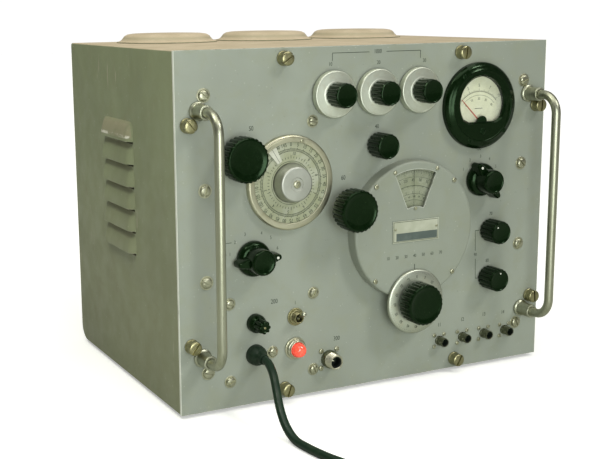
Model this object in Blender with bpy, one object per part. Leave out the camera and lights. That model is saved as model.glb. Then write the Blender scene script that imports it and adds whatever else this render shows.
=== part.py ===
"""Bench signal generator in a sheet-metal cabinet, as an assembly of separate pieces.

Units are metres in the finished model. Dimensions below are millimetres in the panel frame:
x across the panel from its middle, y into the case from the panel's front face, z up from
the panel's bottom edge. row() moves them to the model frame, whose origin lies on the standing
surface under the middle of the body, +Z up, with the panel facing -Y.
"""
import math

import bmesh
import bpy
from mathutils import Matrix, Vector

MM = 0.001
GAP = 0.3  # clearance between neighbouring pieces

# ---- driving dimensions -------------------------------------------------------------
PANEL_W, PANEL_H, PANEL_T = 441.3, 355.6, 3.2
CASE_D = 312.0
WALL = 2.0
FOOT_H = 4.0
BACK_EDGE_R = 18.0
FLANGE_X = 202.15  # half width of the opening inside the cabinet's front lip
FLANGE_Z = 18.5
HANDLE_OUT, HANDLE_ROD, HANDLE_BEND = 47.0, 9.5, 20.0
HANDLE_X, HANDLE_Z = 197.0, (56.5, 298.5)
SHAFT_R, SHAFT_HOLE = 3.175, 3.6
PANEL_Y = -(CASE_D - HANDLE_OUT - HANDLE_ROD / 2) / 2

LOUVRE_N, LOUVRE_PITCH, LOUVRE_LOW = 6, 23.5, 141.9
LOUVRE_H, LOUVRE_OUT, LOUVRE_Y = 20.5, 5.0, (112.0, 203.0)
DOME_X, DOME_Y, DOME_R, DOME_H = (-124.0, 2.0, 128.0), 250.0, 58.0, 10.0

CAPTIVE = (  # x, z, slot angle
    ("captive_screw_top_left", -105.5, 345.3, 55), ("captive_screw_top_right", 105.5, 345.3, 8),
    ("captive_screw_left_upper", -208.5, 285.6, -40), ("captive_screw_left_lower", -208.5, 70.0, 35),
    ("captive_screw_right_upper", 208.5, 285.6, 4), ("captive_screw_right_lower", 208.5, 70.0, -6),
    ("captive_screw_bottom_left", -106.0, 10.4, 20), ("captive_screw_bottom_right", 106.0, 10.4, 30),
)
CAPTIVE_R, CAPTIVE_OUT, CAPTIVE_SHANK = 6.8, 11.5, 2.8

PULSE = (("pulse_width_knob", -50.6), ("pulse_delay_knob", 0.4), ("pulse_rate_knob", 51.2))
PULSE_Z = 308.3
ZERO = (3.0, 254.4)
POWER_SET = (-156.5, 251.7)
OUTPUT = (-38.5, 193.6)
PHASE = (149.0, 151.2)
AMPLITUDE = (148.2, 98.4)
FREQ = (41.3, 87.7)
COVER = (41.5, 163.5)
COVER_R, COVER_OUT = 73.0, 15.5
WINDOW_HALF, WINDOW_R = math.radians(23.0), (25.5, 64.5)
ATTEN = (-100.0, 223.5)
ATTEN_RING, ATTEN_DIAL = (42.1, 47.3), 41.6
METER = (129.5, 288.4)
METER_R, METER_BARREL = 46.0, 33.5
METER_WINDOW = (129.6, 291.0, 28.6, 271.6)  # centre x, centre z, radius, chord z
METER_PIVOT = (130.0, 272.0)
MODE = (-141.0, 150.9)
SYNC = (134.5, 208.3)
FUSE = (-139.0, 84.5)
TOGGLE = (-93.0, 84.6)
LAMP = (-93.5, 51.3)
GLAND = (-139.0, 51.5)
RF = (-53.3, 34.0)
BNC = (("ext_mod_connector", 86.3), ("sync_in_connector", 117.0), ("sync_out_connector", 146.5), ("delayed_sync_connector", 175.3))
BNC_Z = 33.5

CORD_D = 8.4
GLAND_OUT = 20.5
COIL_C, COIL_R, COIL_WIDE, COIL_HIGH = (-168.0, -266.0), 44.0, 3, 2


# ---- tools --------------------------------------------------------------------------
def row(x, y, z):
    return Vector((x, y + PANEL_Y, z + FOOT_H)) * MM


def ring_points(r, n, phase=0.0):
    return [(r * math.sin(2 * math.pi * k / n + phase), r * math.cos(2 * math.pi * k / n + phase)) for k in range(n)]


def turned(bm, profile, n, axis="Y", centre=(0, 0, 0), loop=False):
    """Turns (radius, height) points about the axis: a solid when they start and end on it, a ring when loop is set."""
    place = {"Y": lambda u, v, h: (u, h, v), "Z": lambda u, v, h: (u, v, h), "X": lambda u, v, h: (h, u, v)}[axis]
    c = Vector(centre)
    rings = []
    for r, h in profile:
        points = ring_points(r, n) if r > 1e-6 else [(0.0, 0.0)]
        rings.append([bm.verts.new(c + Vector(place(u, v, h))) for u, v in points])
    pairs = list(zip(rings, rings[1:])) + ([(rings[-1], rings[0])] if loop else [])
    faces = []
    for a, b in pairs:
        for k in range(n):
            q = (k + 1) % n
            corners = [a[k % len(a)], a[q % len(a)], b[q % len(b)], b[k % len(b)]]
            corners = [v for i, v in enumerate(corners) if v not in corners[:i]]
            if len(corners) > 2:
                faces.append(bm.faces.new(corners))
    bmesh.ops.recalc_face_normals(bm, faces=faces)
    return bm


def box(bm, x, y, z):
    grid = [[[bm.verts.new((a, b, c)) for c in z] for b in y] for a in x]
    v = lambda i, j, k: grid[i][j][k]
    faces = [bm.faces.new([v(*c) for c in quad]) for quad in (
        ((0, 0, 0), (0, 0, 1), (0, 1, 1), (0, 1, 0)), ((1, 0, 0), (1, 1, 0), (1, 1, 1), (1, 0, 1)),
        ((0, 0, 0), (1, 0, 0), (1, 0, 1), (0, 0, 1)), ((0, 1, 0), (0, 1, 1), (1, 1, 1), (1, 1, 0)),
        ((0, 0, 0), (0, 1, 0), (1, 1, 0), (1, 0, 0)), ((0, 0, 1), (1, 0, 1), (1, 1, 1), (0, 1, 1)))]
    bmesh.ops.recalc_face_normals(bm, faces=faces)
    return bm


def prism(bm, outline, low, high, axis="Y"):
    """Extrudes an outline from low to high: (x, z) points along Y, (y, z) points along X."""
    place = {"Y": lambda u, v, h: (u, h, v), "X": lambda u, v, h: (h, u, v)}[axis]
    a, b = ([bm.verts.new(place(u, v, h)) for u, v in outline] for h in (low, high))
    n = len(outline)
    faces = [bm.faces.new(a), bm.faces.new(b)]
    faces += [bm.faces.new((a[k], a[(k + 1) % n], b[(k + 1) % n], b[k])) for k in range(n)]
    bmesh.ops.recalc_face_normals(bm, faces=faces)
    return bm


def arc(centre, r, start, end, steps):
    return [(centre[0] + r * math.cos(start + (end - start) * k / steps),
             centre[1] + r * math.sin(start + (end - start) * k / steps)) for k in range(steps + 1)]


def material(name, colour, rough, metal=0.0):
    m = bpy.data.materials.new(name)
    m.use_nodes = True
    s = m.node_tree.nodes["Principled BSDF"]
    s.inputs["Base Color"].default_value = (*colour, 1.0)
    s.inputs["Roughness"].default_value = rough
    s.inputs["Metallic"].default_value = metal
    return m


PAINT = ((0.36, 0.38, 0.31), 0.45, 0.0)
TOP_PAINT = ((0.52, 0.44, 0.31), 0.6, 0.0)
SIDE_PAINT = ((0.30, 0.31, 0.23), 0.5, 0.0)
BAKELITE = ((0.015, 0.015, 0.014), 0.18, 0.0)
NICKEL = ((0.62, 0.60, 0.54), 0.28, 1.0)
BRASS = ((0.50, 0.44, 0.29), 0.35, 1.0)
ALUMINIUM = ((0.66, 0.66, 0.62), 0.4, 1.0)
STEEL = ((0.55, 0.56, 0.55), 0.42, 1.0)
RUBBER = ((0.02, 0.02, 0.02), 0.6, 0.0)


def piece(name, bm, finish, origin=(0, 0, 0), sharp=35):
    """Makes the object from a mesh given in millimetres about its origin in the panel frame."""
    bmesh.ops.scale(bm, vec=(MM, MM, MM), verts=bm.verts)
    mesh = bpy.data.meshes.new(name)
    bm.to_mesh(mesh)
    bm.free()
    o = bpy.data.objects.new(name, mesh)
    bpy.context.scene.collection.objects.link(o)
    o.location = row(*origin)
    if finish:
        mesh.materials.append(material(name, *finish))
        mesh.shade_smooth()
        mesh.set_sharp_from_angle(angle=math.radians(sharp))
    return o


def boolean(o, bm, operation, origin=(0, 0, 0)):
    """Adds a Boolean with a tool mesh, which stays hidden in the file."""
    tool = piece(o.name + "_" + operation.lower() + str(len(o.modifiers)), bm, None, origin)
    tool.hide_render = True
    tool.display_type = "WIRE"
    m = o.modifiers.new(operation.title(), "BOOLEAN")
    m.operation = operation
    m.solver = "EXACT"
    m.object = tool
    return o


def swept(name, points, radius, resolution):
    """A round rod or cord along points, in millimetres, as a curve with filled ends."""
    c = bpy.data.curves.new(name, "CURVE")
    c.dimensions = "3D"
    c.bevel_depth = radius * MM
    c.bevel_resolution = resolution
    c.use_fill_caps = True
    s = c.splines.new("POLY")
    s.points.add(len(points) - 1)
    for p, q in zip(s.points, points):
        p.co = (*row(*q), 1.0)
    o = bpy.data.objects.new(name, c)
    bpy.context.scene.collection.objects.link(o)
    return o


def smooth_path(knots, step):
    """Points a step apart along a centripetal Catmull-Rom curve through the knots."""
    k = [Vector(p) for p in knots]
    k = [2 * k[0] - k[1]] + k + [2 * k[-1] - k[-2]]
    fine = []
    for a, b, c, d in zip(k, k[1:], k[2:], k[3:]):
        t = [0.0]
        for p, q in ((a, b), (b, c), (c, d)):
            t.append(t[-1] + math.sqrt((q - p).length))
        for i in range(24):
            s = t[1] + (t[2] - t[1]) * i / 24
            a1 = a.lerp(b, (s - t[0]) / (t[1] - t[0]))
            a2 = b.lerp(c, (s - t[1]) / (t[2] - t[1]))
            a3 = c.lerp(d, (s - t[2]) / (t[3] - t[2]))
            b1 = a1.lerp(a2, (s - t[0]) / (t[2] - t[0]))
            b2 = a2.lerp(a3, (s - t[1]) / (t[3] - t[1]))
            fine.append(b1.lerp(b2, (s - t[1]) / (t[2] - t[1])))
    fine.append(k[-2])
    out, left = [fine[0]], step
    for p, q in zip(fine, fine[1:]):
        run = (q - p).length
        while run >= left:
            p = p.lerp(q, left / run)
            run -= left
            out.append(p)
            left = step
        left -= run
    return out


for old in list(bpy.data.objects):
    bpy.data.objects.remove(old, do_unlink=True)

# ---- cabinet ------------------------------------------------------------------------
W = PANEL_W / 2
BACK = CASE_D - 1.8  # the rear plate lies outside this face


def case_outline(inset):
    r = BACK_EDGE_R - inset
    low = [(BACK - BACK_EDGE_R + r * math.sin(a), BACK_EDGE_R - r * math.cos(a))
           for a in (math.pi / 2 * k / 5 for k in range(6))]
    return [(PANEL_T + GAP + inset, inset)] + low + [(BACK - inset, PANEL_H - inset), (PANEL_T + GAP + inset, PANEL_H - inset)]


shell = piece("cabinet_shell", prism(bmesh.new(), case_outline(0), -W, W, "X"), SIDE_PAINT)
boolean(shell, prism(bmesh.new(), case_outline(WALL), -W + WALL, W - WALL, "X"), "DIFFERENCE")
boolean(shell, box(bmesh.new(), (-FLANGE_X, FLANGE_X), (-6, 20), (FLANGE_Z, PANEL_H - FLANGE_Z)), "DIFFERENCE")
holes = bmesh.new()
box(holes, (-184, 184), (BACK - 8, BACK + 6), (44, 316))
for _, x, z, _ in CAPTIVE:
    turned(holes, [(0, 0), (3.6, 0), (3.6, 9), (0, 9)], 8, "Y", (x, 0, z))
for x in DOME_X:
    turned(holes, [(0, PANEL_H - 9), (44, PANEL_H - 9), (44, PANEL_H + 9), (0, PANEL_H + 9)], 18, "Z", (x, DOME_Y, 0))
boolean(shell, holes, "DIFFERENCE")


def louvre(bm, side, z, inset):
    """A pressed scoop with its mouth at the bottom, drawn as sections along the case side."""
    out, tall = LOUVRE_OUT - inset, LOUVRE_H - inset * 1.3
    back = -0.9 if inset == 0 else -WALL - 3
    drop = 0.0 if inset == 0 else -2.5
    curve = [(out, drop), (out, 0.25 * tall), (0.7 * out, 0.65 * tall), (0.0, tall)]
    y0, y1 = LOUVRE_Y[0] + inset, LOUVRE_Y[1] - inset
    stations = [(y0, 0.0), (y0 + 8, 1.0), (y1 - 8, 1.0), (y1, 0.0)]
    rings = []
    for y, s in stations:
        section = [(back, drop)] + [(max(a * s, 0.02 - inset * 0.5) if inset == 0 else a * s - 0.02, b) for a, b in curve] + [(back, tall)]
        rings.append([bm.verts.new((side * (W + a), y, z + b)) for a, b in section])
    n = len(rings[0])
    faces = [bm.faces.new(rings[0]), bm.faces.new(rings[-1])]
    for a, b in zip(rings, rings[1:]):
        faces += [bm.faces.new((a[k], a[(k + 1) % n], b[(k + 1) % n], b[k])) for k in range(n)]
    bmesh.ops.recalc_face_normals(bm, faces=faces)


for inset, operation in ((0.0, "UNION"), (1.4, "DIFFERENCE")):
    tool = bmesh.new()
    for side in (-1, 1):
        for k in range(LOUVRE_N):
            louvre(tool, side, LOUVRE_LOW + LOUVRE_PITCH * k, inset)
    boolean(shell, tool, operation)

back = piece("cabinet_back", box(bmesh.new(), (-198, 198), (CASE_D - 1.5, CASE_D), (28, 330)), TOP_PAINT)
slots = bmesh.new()
for z in (70, 200):
    for k in range(8):
        x = -105 + 30 * k
        box(slots, (x - 3, x + 3), (CASE_D - 6, CASE_D + 6), (z, z + 80))
boolean(back, slots, "DIFFERENCE")

for name, x in zip(("top_dome_left", "top_dome_middle", "top_dome_right"), DOME_X):
    h = DOME_H
    piece(name, turned(bmesh.new(), [(0, h), (42, h - 0.4), (49, h - 2), (52.5, h - 6), (DOME_R, 1.0), (DOME_R, 0),
                                     (50.5, 0), (46.5, h - 3), (0, h - 1.8)], 20, "Z"), TOP_PAINT, (x, DOME_Y, PANEL_H + GAP))

for name, x, y in (("foot_front_left", -185, 38), ("foot_front_right", 185, 38), ("foot_back_left", -185, 268), ("foot_back_right", 185, 268)):
    piece(name, turned(bmesh.new(), [(0, 0), (10.5, 0), (12.5, 1.2), (12.5, FOOT_H - GAP), (0, FOOT_H - GAP)], 12, "Z"),
          RUBBER, (x, y, -FOOT_H))

# ---- panel and chassis --------------------------------------------------------------
panel = piece("front_panel", box(bmesh.new(), (-W, W), (0, PANEL_T), (0, PANEL_H)), PAINT)
holes = bmesh.new()
bores = [(x, PULSE_Z, SHAFT_HOLE) for _, x in PULSE]
bores += [(*p, SHAFT_HOLE) for p in (ZERO, POWER_SET, OUTPUT, PHASE, AMPLITUDE, FREQ, COVER, ATTEN, MODE, SYNC)]
bores += [(x, z, 3.3) for _, x, z, _ in CAPTIVE]
bores += [(s * HANDLE_X, z, 3.4) for s in (-1, 1) for z in HANDLE_Z]
bores += [(*FUSE, 6.9), (*TOGGLE, 5.9), (*LAMP, 9.1), (*GLAND, 8.7), (*RF, 8.5)]
bores += [(x, BNC_Z, 5.4) for _, x in BNC]
for x, z, r in bores:
    turned(holes, [(0, -5), (r, -5), (r, 9), (0, 9)], 8 if r < 5.5 else 12, "Y", (x, 0, z))
turned(holes, [(0, -5), (METER_BARREL + 0.8, -5), (METER_BARREL + 0.8, 9), (0, 9)], 24, "Y", (METER[0], 0, METER[1]))
boolean(panel, holes, "DIFFERENCE")

deck = box(bmesh.new(), (-185.5, 185.5), (22, 296), (112, 113.6))
chassis = piece("chassis_frame", deck, STEEL)
gusset = [(PANEL_T + GAP, 24), (170, 24), (296, 60), (296, 128), (130, 150), (24, 330), (PANEL_T + GAP, 330)]
for s in (-1, 1):
    side = bmesh.new()
    prism(side, gusset, s * 185.0, s * 186.6, "X")
    boolean(chassis, side, "UNION")
    lip = bmesh.new()
    box(lip, sorted((s * 186.0, s * 193.4)), (PANEL_T + GAP, PANEL_T + GAP + 1.6), (24.5, 329.5))
    boolean(chassis, lip, "UNION")

block = piece("power_transformer", box(bmesh.new(), (-42, 42), (-20, 20), (0, 84)), STEEL, (-112, 215, 113.6 + GAP))
bells = bmesh.new()
turned(bells, [(0, -36), (26, -36), (36, -22), (36, 22), (26, 36), (0, 36)], 12, "Y", (0, 0, 42))
boolean(block, bells, "UNION", (-112, 215, 113.6 + GAP))
piece("oscillator_cavity", turned(bmesh.new(), [(0, 90), (SHAFT_HOLE, 90), (SHAFT_HOLE, 62), (13, 62), (13, 68), (49, 68), (49, 76),
                                                (43, 76), (43, 180), (0, 180)], 18), ALUMINIUM, (COVER[0], 0, COVER[1]))
piece("rectifier_tube", turned(bmesh.new(), [(0, 0), (14.5, 0), (14.5, 16), (15.5, 22), (15.5, 52), (11, 62), (0, 66)], 12, "Z"),
      ((0.10, 0.10, 0.11), 0.08, 0.0), (-30, 235, 113.6 + GAP))

# ---- handles ------------------------------------------------------------------------
for name, s in (("handle_left", -1), ("handle_right", 1)):
    r, low, high = HANDLE_BEND, HANDLE_Z[0], HANDLE_Z[1]
    bend = [(-HANDLE_OUT + r - r * math.sin(a), low + r - r * math.cos(a)) for a in (math.pi / 2 * k / 4 for k in range(5))]
    side = [(-2.0, low)] + bend
    path = [(s * HANDLE_X, y, z) for y, z in side + [(y, low + high - z) for y, z in reversed(side)]]
    rod = swept(name + "_rod", path, HANDLE_ROD / 2, 2)
    bpy.context.view_layer.update()
    mesh = bpy.data.meshes.new_from_object(rod.evaluated_get(bpy.context.evaluated_depsgraph_get()))
    bpy.data.objects.remove(rod, do_unlink=True)
    mesh.materials.clear()
    mesh.materials.append(material(name, *NICKEL))
    handle = bpy.data.objects.new(name, mesh)
    bpy.context.scene.collection.objects.link(handle)
    mesh.shade_smooth()
    mesh.set_sharp_from_angle(angle=math.radians(35))
    sleeves = bmesh.new()
    for z in HANDLE_Z:
        turned(sleeves, [(0, -21), (6.6, -21), (7.3, -19.8), (7.3, -4), (9.3, -2.6), (9.3, -GAP), (3.0, -GAP), (3.0, 12), (0, 12)],
               12, "Y", (s * HANDLE_X, 0, z))
    boolean(handle, sleeves, "UNION")

# ---- captive panel screws -----------------------------------------------------------
for name, x, z, angle in CAPTIVE:
    screw = piece(name, turned(bmesh.new(), [(0, -CAPTIVE_OUT), (5.9, -CAPTIVE_OUT), (CAPTIVE_R, -CAPTIVE_OUT + 0.9), (CAPTIVE_R, -GAP),
                                             (CAPTIVE_SHANK, -GAP), (CAPTIVE_SHANK, 9), (0, 9)], 10), BRASS, (x, 0, z))
    slot = box(bmesh.new(), (-0.9, 0.9), (-CAPTIVE_OUT - 3, -CAPTIVE_OUT + 2.4), (-9, 9))
    bmesh.ops.rotate(slot, cent=(0, 0, 0), matrix=Matrix.Rotation(math.radians(angle), 3, "Y"), verts=slot.verts)
    boolean(screw, slot, "DIFFERENCE", (x, 0, z))


# ---- knobs --------------------------------------------------------------------------
def simple_knob(name, place, r, back_y, face_y, n=16):
    body = [(0, face_y), (r - 1.8, face_y), (r - 0.3, face_y + 1.6), (r, back_y)]
    if back_y < -4:
        body += [(6.5, back_y), (6.5, -1.6), (SHAFT_R, -1.6)]
    else:
        body += [(SHAFT_R, back_y)]
    body += [(SHAFT_R, 14), (0, 14)]
    return piece(name, turned(bmesh.new(), body, n), BAKELITE, (place[0], 0, place[1]))


def skirted_knob(name, place, r, face_y, skirt_r, skirt_y, back_y, boss, n):
    body = [(0, face_y), (r - 1.8, face_y), (r - 0.3, face_y + 1.6), (r, skirt_y - 0.3), (skirt_r - 1.8, skirt_y), (skirt_r, skirt_y + 1.5),
            (skirt_r, back_y), (boss, back_y), (boss, -1.6), (SHAFT_R, -1.6), (SHAFT_R, 14), (0, 14)]
    return piece(name, turned(bmesh.new(), body, n), BAKELITE, (place[0], 0, place[1]))


for name, x in PULSE:
    skirted_knob(name, (x, PULSE_Z), 12.4, -30.0, 23.6, -9.3, -2.6, 8.0, 20)
skirted_knob("frequency_knob", FREQ, 21.9, -38.5, 34.5, -20.2, -17.2, 8.4, 24)
simple_knob("zero_set_knob", ZERO, 13.2, -2.0, -23.5)
simple_knob("power_set_knob", POWER_SET, 22.2, -7.4, -26.4, 20)
simple_knob("output_level_knob", OUTPUT, 21.6, -17.2, -36.8, 20)
simple_knob("fm_phase_knob", PHASE, 12.8, -2.0, -23.8)
simple_knob("fm_amplitude_knob", AMPLITUDE, 12.8, -2.0, -23.8)


def selector(name, place, angle):
    """A pointer knob: a round base, a round grip and two tapered wings. angle is the pointer's, clockwise from the top."""
    o = piece(name, turned(bmesh.new(), [(0, -27.6), (11.6, -27.6), (12.8, -26.2), (13.0, -10), (14, -10), (17.2, -7.5), (18, -5), (18, -2), (SHAFT_R, -2),
                                         (SHAFT_R, 14), (0, 14)], 18), BAKELITE, (place[0], 0, place[1]))
    wings = prism(bmesh.new(), [(-2.4, -23.5), (2.4, -23.5), (6.0, -11), (6.0, 11), (2.4, 23.5), (-2.4, 23.5), (-6.0, 11), (-6.0, -11)], -20.5, -6.2)
    bmesh.ops.rotate(wings, cent=(0, 0, 0), matrix=Matrix.Rotation(math.radians(angle), 3, "Y"), verts=wings.verts)
    return boolean(o, wings, "UNION", (place[0], 0, place[1]))


selector("modulation_selector", MODE, 84.0)
selector("sync_selector", SYNC, -36.0)

# ---- output attenuator dial ---------------------------------------------------------
a, b = ATTEN_RING
piece("attenuator_bezel", turned(bmesh.new(), [(a, -5.4), (a + 0.8, -6.2), (b - 0.9, -6.2), (b, -5.2), (b, -GAP), (a, -GAP)], 28, loop=True),
      ALUMINIUM, (ATTEN[0], 0, ATTEN[1]))
piece("attenuator_dial", turned(bmesh.new(), [(0, -18), (16.2, -18), (17.2, -17.2), (21.8, -5.2), (ATTEN_DIAL, -5.0), (ATTEN_DIAL, -3.6),
                                              (SHAFT_R, -3.6), (SHAFT_R, 14), (0, 14)], 28), ALUMINIUM, (ATTEN[0], 0, ATTEN[1]))

# ---- frequency dial and its cover ---------------------------------------------------
cover = piece("dial_cover", turned(bmesh.new(), [(0, -COVER_OUT), (COVER_R - 2.2, -COVER_OUT), (COVER_R - 0.5, -COVER_OUT + 0.8), (COVER_R, -COVER_OUT + 2.4),
                                                 (COVER_R, -GAP), (COVER_R - 1.8, -GAP), (COVER_R - 1.8, -COVER_OUT + 1.8), (0, -COVER_OUT + 1.8)], 36),
              PAINT, (COVER[0], 0, COVER[1]))


def sector(half, inner, outer, steps):
    """Outline of a window about the dial's centre, upright."""
    up = math.pi / 2
    return arc((0, 0), inner, up - half, up + half, steps) + arc((0, 0), outer, up + half, up - half, steps * 2)


boolean(cover, prism(bmesh.new(), sector(WINDOW_HALF, *WINDOW_R, 4), -COVER_OUT - 4, -COVER_OUT + 4), "DIFFERENCE", (COVER[0], 0, COVER[1]))
boolean(cover, turned(bmesh.new(), [(0, -30), (12.5, -30), (12.5, 6), (0, 6)], 14), "DIFFERENCE", (FREQ[0], 0, FREQ[1]))
piece("dial_window", prism(bmesh.new(), sector(WINDOW_HALF + 0.05, WINDOW_R[0] - 3, WINDOW_R[1] + 3, 4), -13.4, -12.2),
      ((0.8, 0.82, 0.8), 0.05, 0.0), (COVER[0], 0, COVER[1]))
piece("frequency_dial", turned(bmesh.new(), [(0, -11.4), (9, -11.4), (9, -9.8), (66.2, -9.8), (66.2, -8.4), (9, -8.4), (9, -3), (SHAFT_R, -3), (SHAFT_R, 86), (0, 86)], 30),
      ALUMINIUM, (COVER[0], 0, COVER[1]))

# ---- panel meter --------------------------------------------------------------------
case = piece("meter_case", turned(bmesh.new(), [(0, -9.8), (38, -9.8), (43, -8.6), (METER_R, -5.6), (METER_R, -GAP), (METER_BARREL, -GAP),
                                                (METER_BARREL, 40), (0, 40)], 28), BAKELITE, (METER[0], 0, METER[1]))
boolean(case, turned(bmesh.new(), [(0, -6.5), (31.5, -6.5), (31.5, 36), (0, 36)], 28), "DIFFERENCE", (METER[0], 0, METER[1]))


def meter_outline(grow, steps):
    x, z, r, chord = METER_WINDOW
    r += grow
    a = math.asin((chord - grow - z) / r)
    return arc((x - METER[0], z - METER[1]), r, a, math.pi - a, steps)


boolean(case, prism(bmesh.new(), meter_outline(0, 14), -14, -4), "DIFFERENCE", (METER[0], 0, METER[1]))
piece("meter_glass", turned(bmesh.new(), [(0, -6.2), (31.2, -6.2), (31.2, -5.2), (0, -5.2)], 20), ((0.8, 0.82, 0.8), 0.05, 0.0), (METER[0], 0, METER[1]))
plate = piece("meter_scale_plate", turned(bmesh.new(), [(0, -1.5), (31.2, -1.5), (31.2, -0.5), (0, -0.5)], 20), ((0.80, 0.77, 0.64), 0.5, 0.0), (METER[0], 0, METER[1]))
boolean(plate, turned(bmesh.new(), [(0, -6), (1.6, -6), (1.6, 6), (0, 6)], 8), "DIFFERENCE", (METER_PIVOT[0], 0, METER_PIVOT[1]))
needle = prism(bmesh.new(), [(-0.7, -7), (0.7, -7), (0.35, 33), (-0.35, 33)], -3.6, -3.0)
bmesh.ops.rotate(needle, cent=(0, 0, 0), matrix=Matrix.Rotation(math.radians(-45), 3, "Y"), verts=needle.verts)
pointer = piece("meter_pointer", needle, ((0.55, 0.08, 0.05), 0.4, 0.0), (METER_PIVOT[0], 0, METER_PIVOT[1]))
boolean(pointer, turned(bmesh.new(), [(0, -4.4), (3.2, -4.4), (3.2, -2.2), (1.1, -2.2), (1.1, 4), (0, 4)], 8), "UNION", (METER_PIVOT[0], 0, METER_PIVOT[1]))

# ---- power switch, fuse, lamp, gland ------------------------------------------------
switch = piece("toggle_body", turned(bmesh.new(), [(0, -1.2), (4.0, -1.2), (4.0, -9.0), (5.4, -9.0), (5.4, -3.4), (7.9, -3.4), (7.9, -GAP), (5.4, -GAP),
                                                   (5.4, 12), (0, 12)], 12), NICKEL, (TOGGLE[0], 0, TOGGLE[1]))
boolean(switch, box(bmesh.new(), (-6.6, 6.6), (8, 30), (-14, 14)), "UNION", (TOGGLE[0], 0, TOGGLE[1]))
LEVER_Y, LEVER_TILT = -5.0, math.radians(-27)
lever = turned(bmesh.new(), [(0, 3.0), (2.1, 2.1), (3.0, 0), (2.1, -2.1), (1.4, -3.2), (1.5, -9), (2.6, -14.5), (2.3, -16.4), (0, -17)], 8)
bmesh.ops.rotate(lever, cent=(0, 0, 0), matrix=Matrix.Rotation(LEVER_TILT, 3, "X"), verts=lever.verts)
piece("toggle_lever", lever, NICKEL, (TOGGLE[0], LEVER_Y, TOGGLE[1]))

piece("fuse_holder", turned(bmesh.new(), [(3.7, -11), (7.6, -11), (9.5, -7), (9.5, -GAP), (6.3, -GAP), (6.3, 34), (3.7, 34)], 14, loop=True), BAKELITE, (FUSE[0], 0, FUSE[1]))
piece("fuse", turned(bmesh.new(), [(0, -10.8), (3.2, -10.8), (3.2, 21), (0, 21)], 10), ((0.6, 0.62, 0.6), 0.2, 0.0), (FUSE[0], 0, FUSE[1]))
piece("fuse_cap", turned(bmesh.new(), [(0, -23), (6.0, -23), (6.9, -22), (7.3, -11.3), (0, -11.3)], 14), BAKELITE, (FUSE[0], 0, FUSE[1]))

piece("lamp_bezel", turned(bmesh.new(), [(7.7, -7.4), (8.8, -7.4), (10.4, -5.6), (10.4, -GAP), (8.4, -GAP), (8.4, 18), (7.7, 18)], 16, loop=True), NICKEL, (LAMP[0], 0, LAMP[1]))
piece("lamp_lens", turned(bmesh.new(), [(0, -16), (4, -15.3), (6.5, -13), (7.4, -9.5), (7.4, -1), (0, -1)], 16), ((0.75, 0.03, 0.02), 0.12, 0.0), (LAMP[0], 0, LAMP[1]))
piece("cord_gland", turned(bmesh.new(), [(0, -GLAND_OUT), (5.3, -GLAND_OUT), (6.2, -13), (8.6, -10.4), (10.1, -7), (10.5, -3), (10.5, -GAP), (8.0, -GAP), (8.0, 14), (0, 14)], 14),
      RUBBER, (GLAND[0], 0, GLAND[1]))

# ---- connectors ---------------------------------------------------------------------
socket = piece("rf_output_connector", turned(bmesh.new(), [(0, -9.5), (1.5, -9.5), (1.5, -5.5), (6, -5.5), (6, -16), (7.95, -16), (7.95, -5.5), (9.4, -5.0), (9.4, -GAP),
                                                           (7.9, -GAP), (7.9, 5.2), (5, 5.2), (5, 18), (0, 18)], 14), NICKEL, (RF[0], 0, RF[1]))
boolean(socket, box(bmesh.new(), (-12.7, 12.7), (PANEL_T + GAP, PANEL_T + GAP + 1.5), (-12.7, 12.7)), "UNION", (RF[0], 0, RF[1]))
for name, x in BNC:
    jack = piece(name, turned(bmesh.new(), [(0, -6.6), (1, -6.6), (1, -4), (4.1, -4), (4.1, -11.5), (4.85, -11.5), (4.85, 6), (3.4, 6), (3.4, 15), (0, 15)], 12),
                 NICKEL, (x, 0, BNC_Z))
    boolean(jack, box(bmesh.new(), (-8.7, 8.7), (PANEL_T + GAP, PANEL_T + GAP + 1.5), (-8.7, 8.7)), "UNION", (x, 0, BNC_Z))

# ---- power cord ---------------------------------------------------------------------
FLOOR = -FOOT_H
R = CORD_D / 2
lead = [(GLAND[0], -GLAND_OUT - 1.3, GLAND[1]), (-139.3, -29, 50.9), (-142.2, -45, 44.2), (-146.5, -60, 33.0), (-150.6, -75, 20.0), (-152.8, -91, 8.5),
        (-152.6, -108, FLOOR + R + 1.2), (-150.5, -127, FLOOR + R + 0.1), (-145, -155, FLOOR + R), (-134, -188, FLOOR + R), (-121.5, -225, FLOOR + R),
        (COIL_C[0] + COIL_R + CORD_D, COIL_C[1], FLOOR + R)]
reach = COIL_R + CORD_D * (COIL_WIDE - 1) / 2 + R
path = [p for p in smooth_path(lead, 2.1 * CORD_D) if math.hypot(p.x - COIL_C[0], p.y - COIL_C[1]) > reach + R + 0.6]
cord = swept("power_cord", path, R, 2)
cord.data.materials.append(material("power_cord", *RUBBER))
half, tall = CORD_D * COIL_WIDE / 2, CORD_D * COIL_HIGH
piece("cord_coil", turned(bmesh.new(), [(COIL_R - half + 2.5, 0), (COIL_R + half - 2.5, 0), (COIL_R + half, 3), (COIL_R + half, tall - 3), (COIL_R + half - 2.5, tall),
                                        (COIL_R - half + 2.5, tall), (COIL_R - half, tall - 3), (COIL_R - half, 3)], 24, "Z", loop=True),
      RUBBER, (COIL_C[0], COIL_C[1], FLOOR))
PLUG_R = CORD_D * 1.5
plug = piece("cord_plug", turned(bmesh.new(), [(0, 0), (5.2, 0), (6.4, -12), (9.5, -14), (PLUG_R - 0.6, -19), (PLUG_R, -22), (PLUG_R, -46), (PLUG_R - 1.5, -48), (0, -48)], 14, "X"),
             RUBBER, (COIL_C[0] - 34.0, COIL_C[1] - COIL_R - CORD_D, FLOOR + PLUG_R))
blades = bmesh.new()
for s in (-1, 1):
    box(blades, (-65.5, -44), (s * 6.35 - 0.8, s * 6.35 + 0.8), (-3.2, 3.2))
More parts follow.
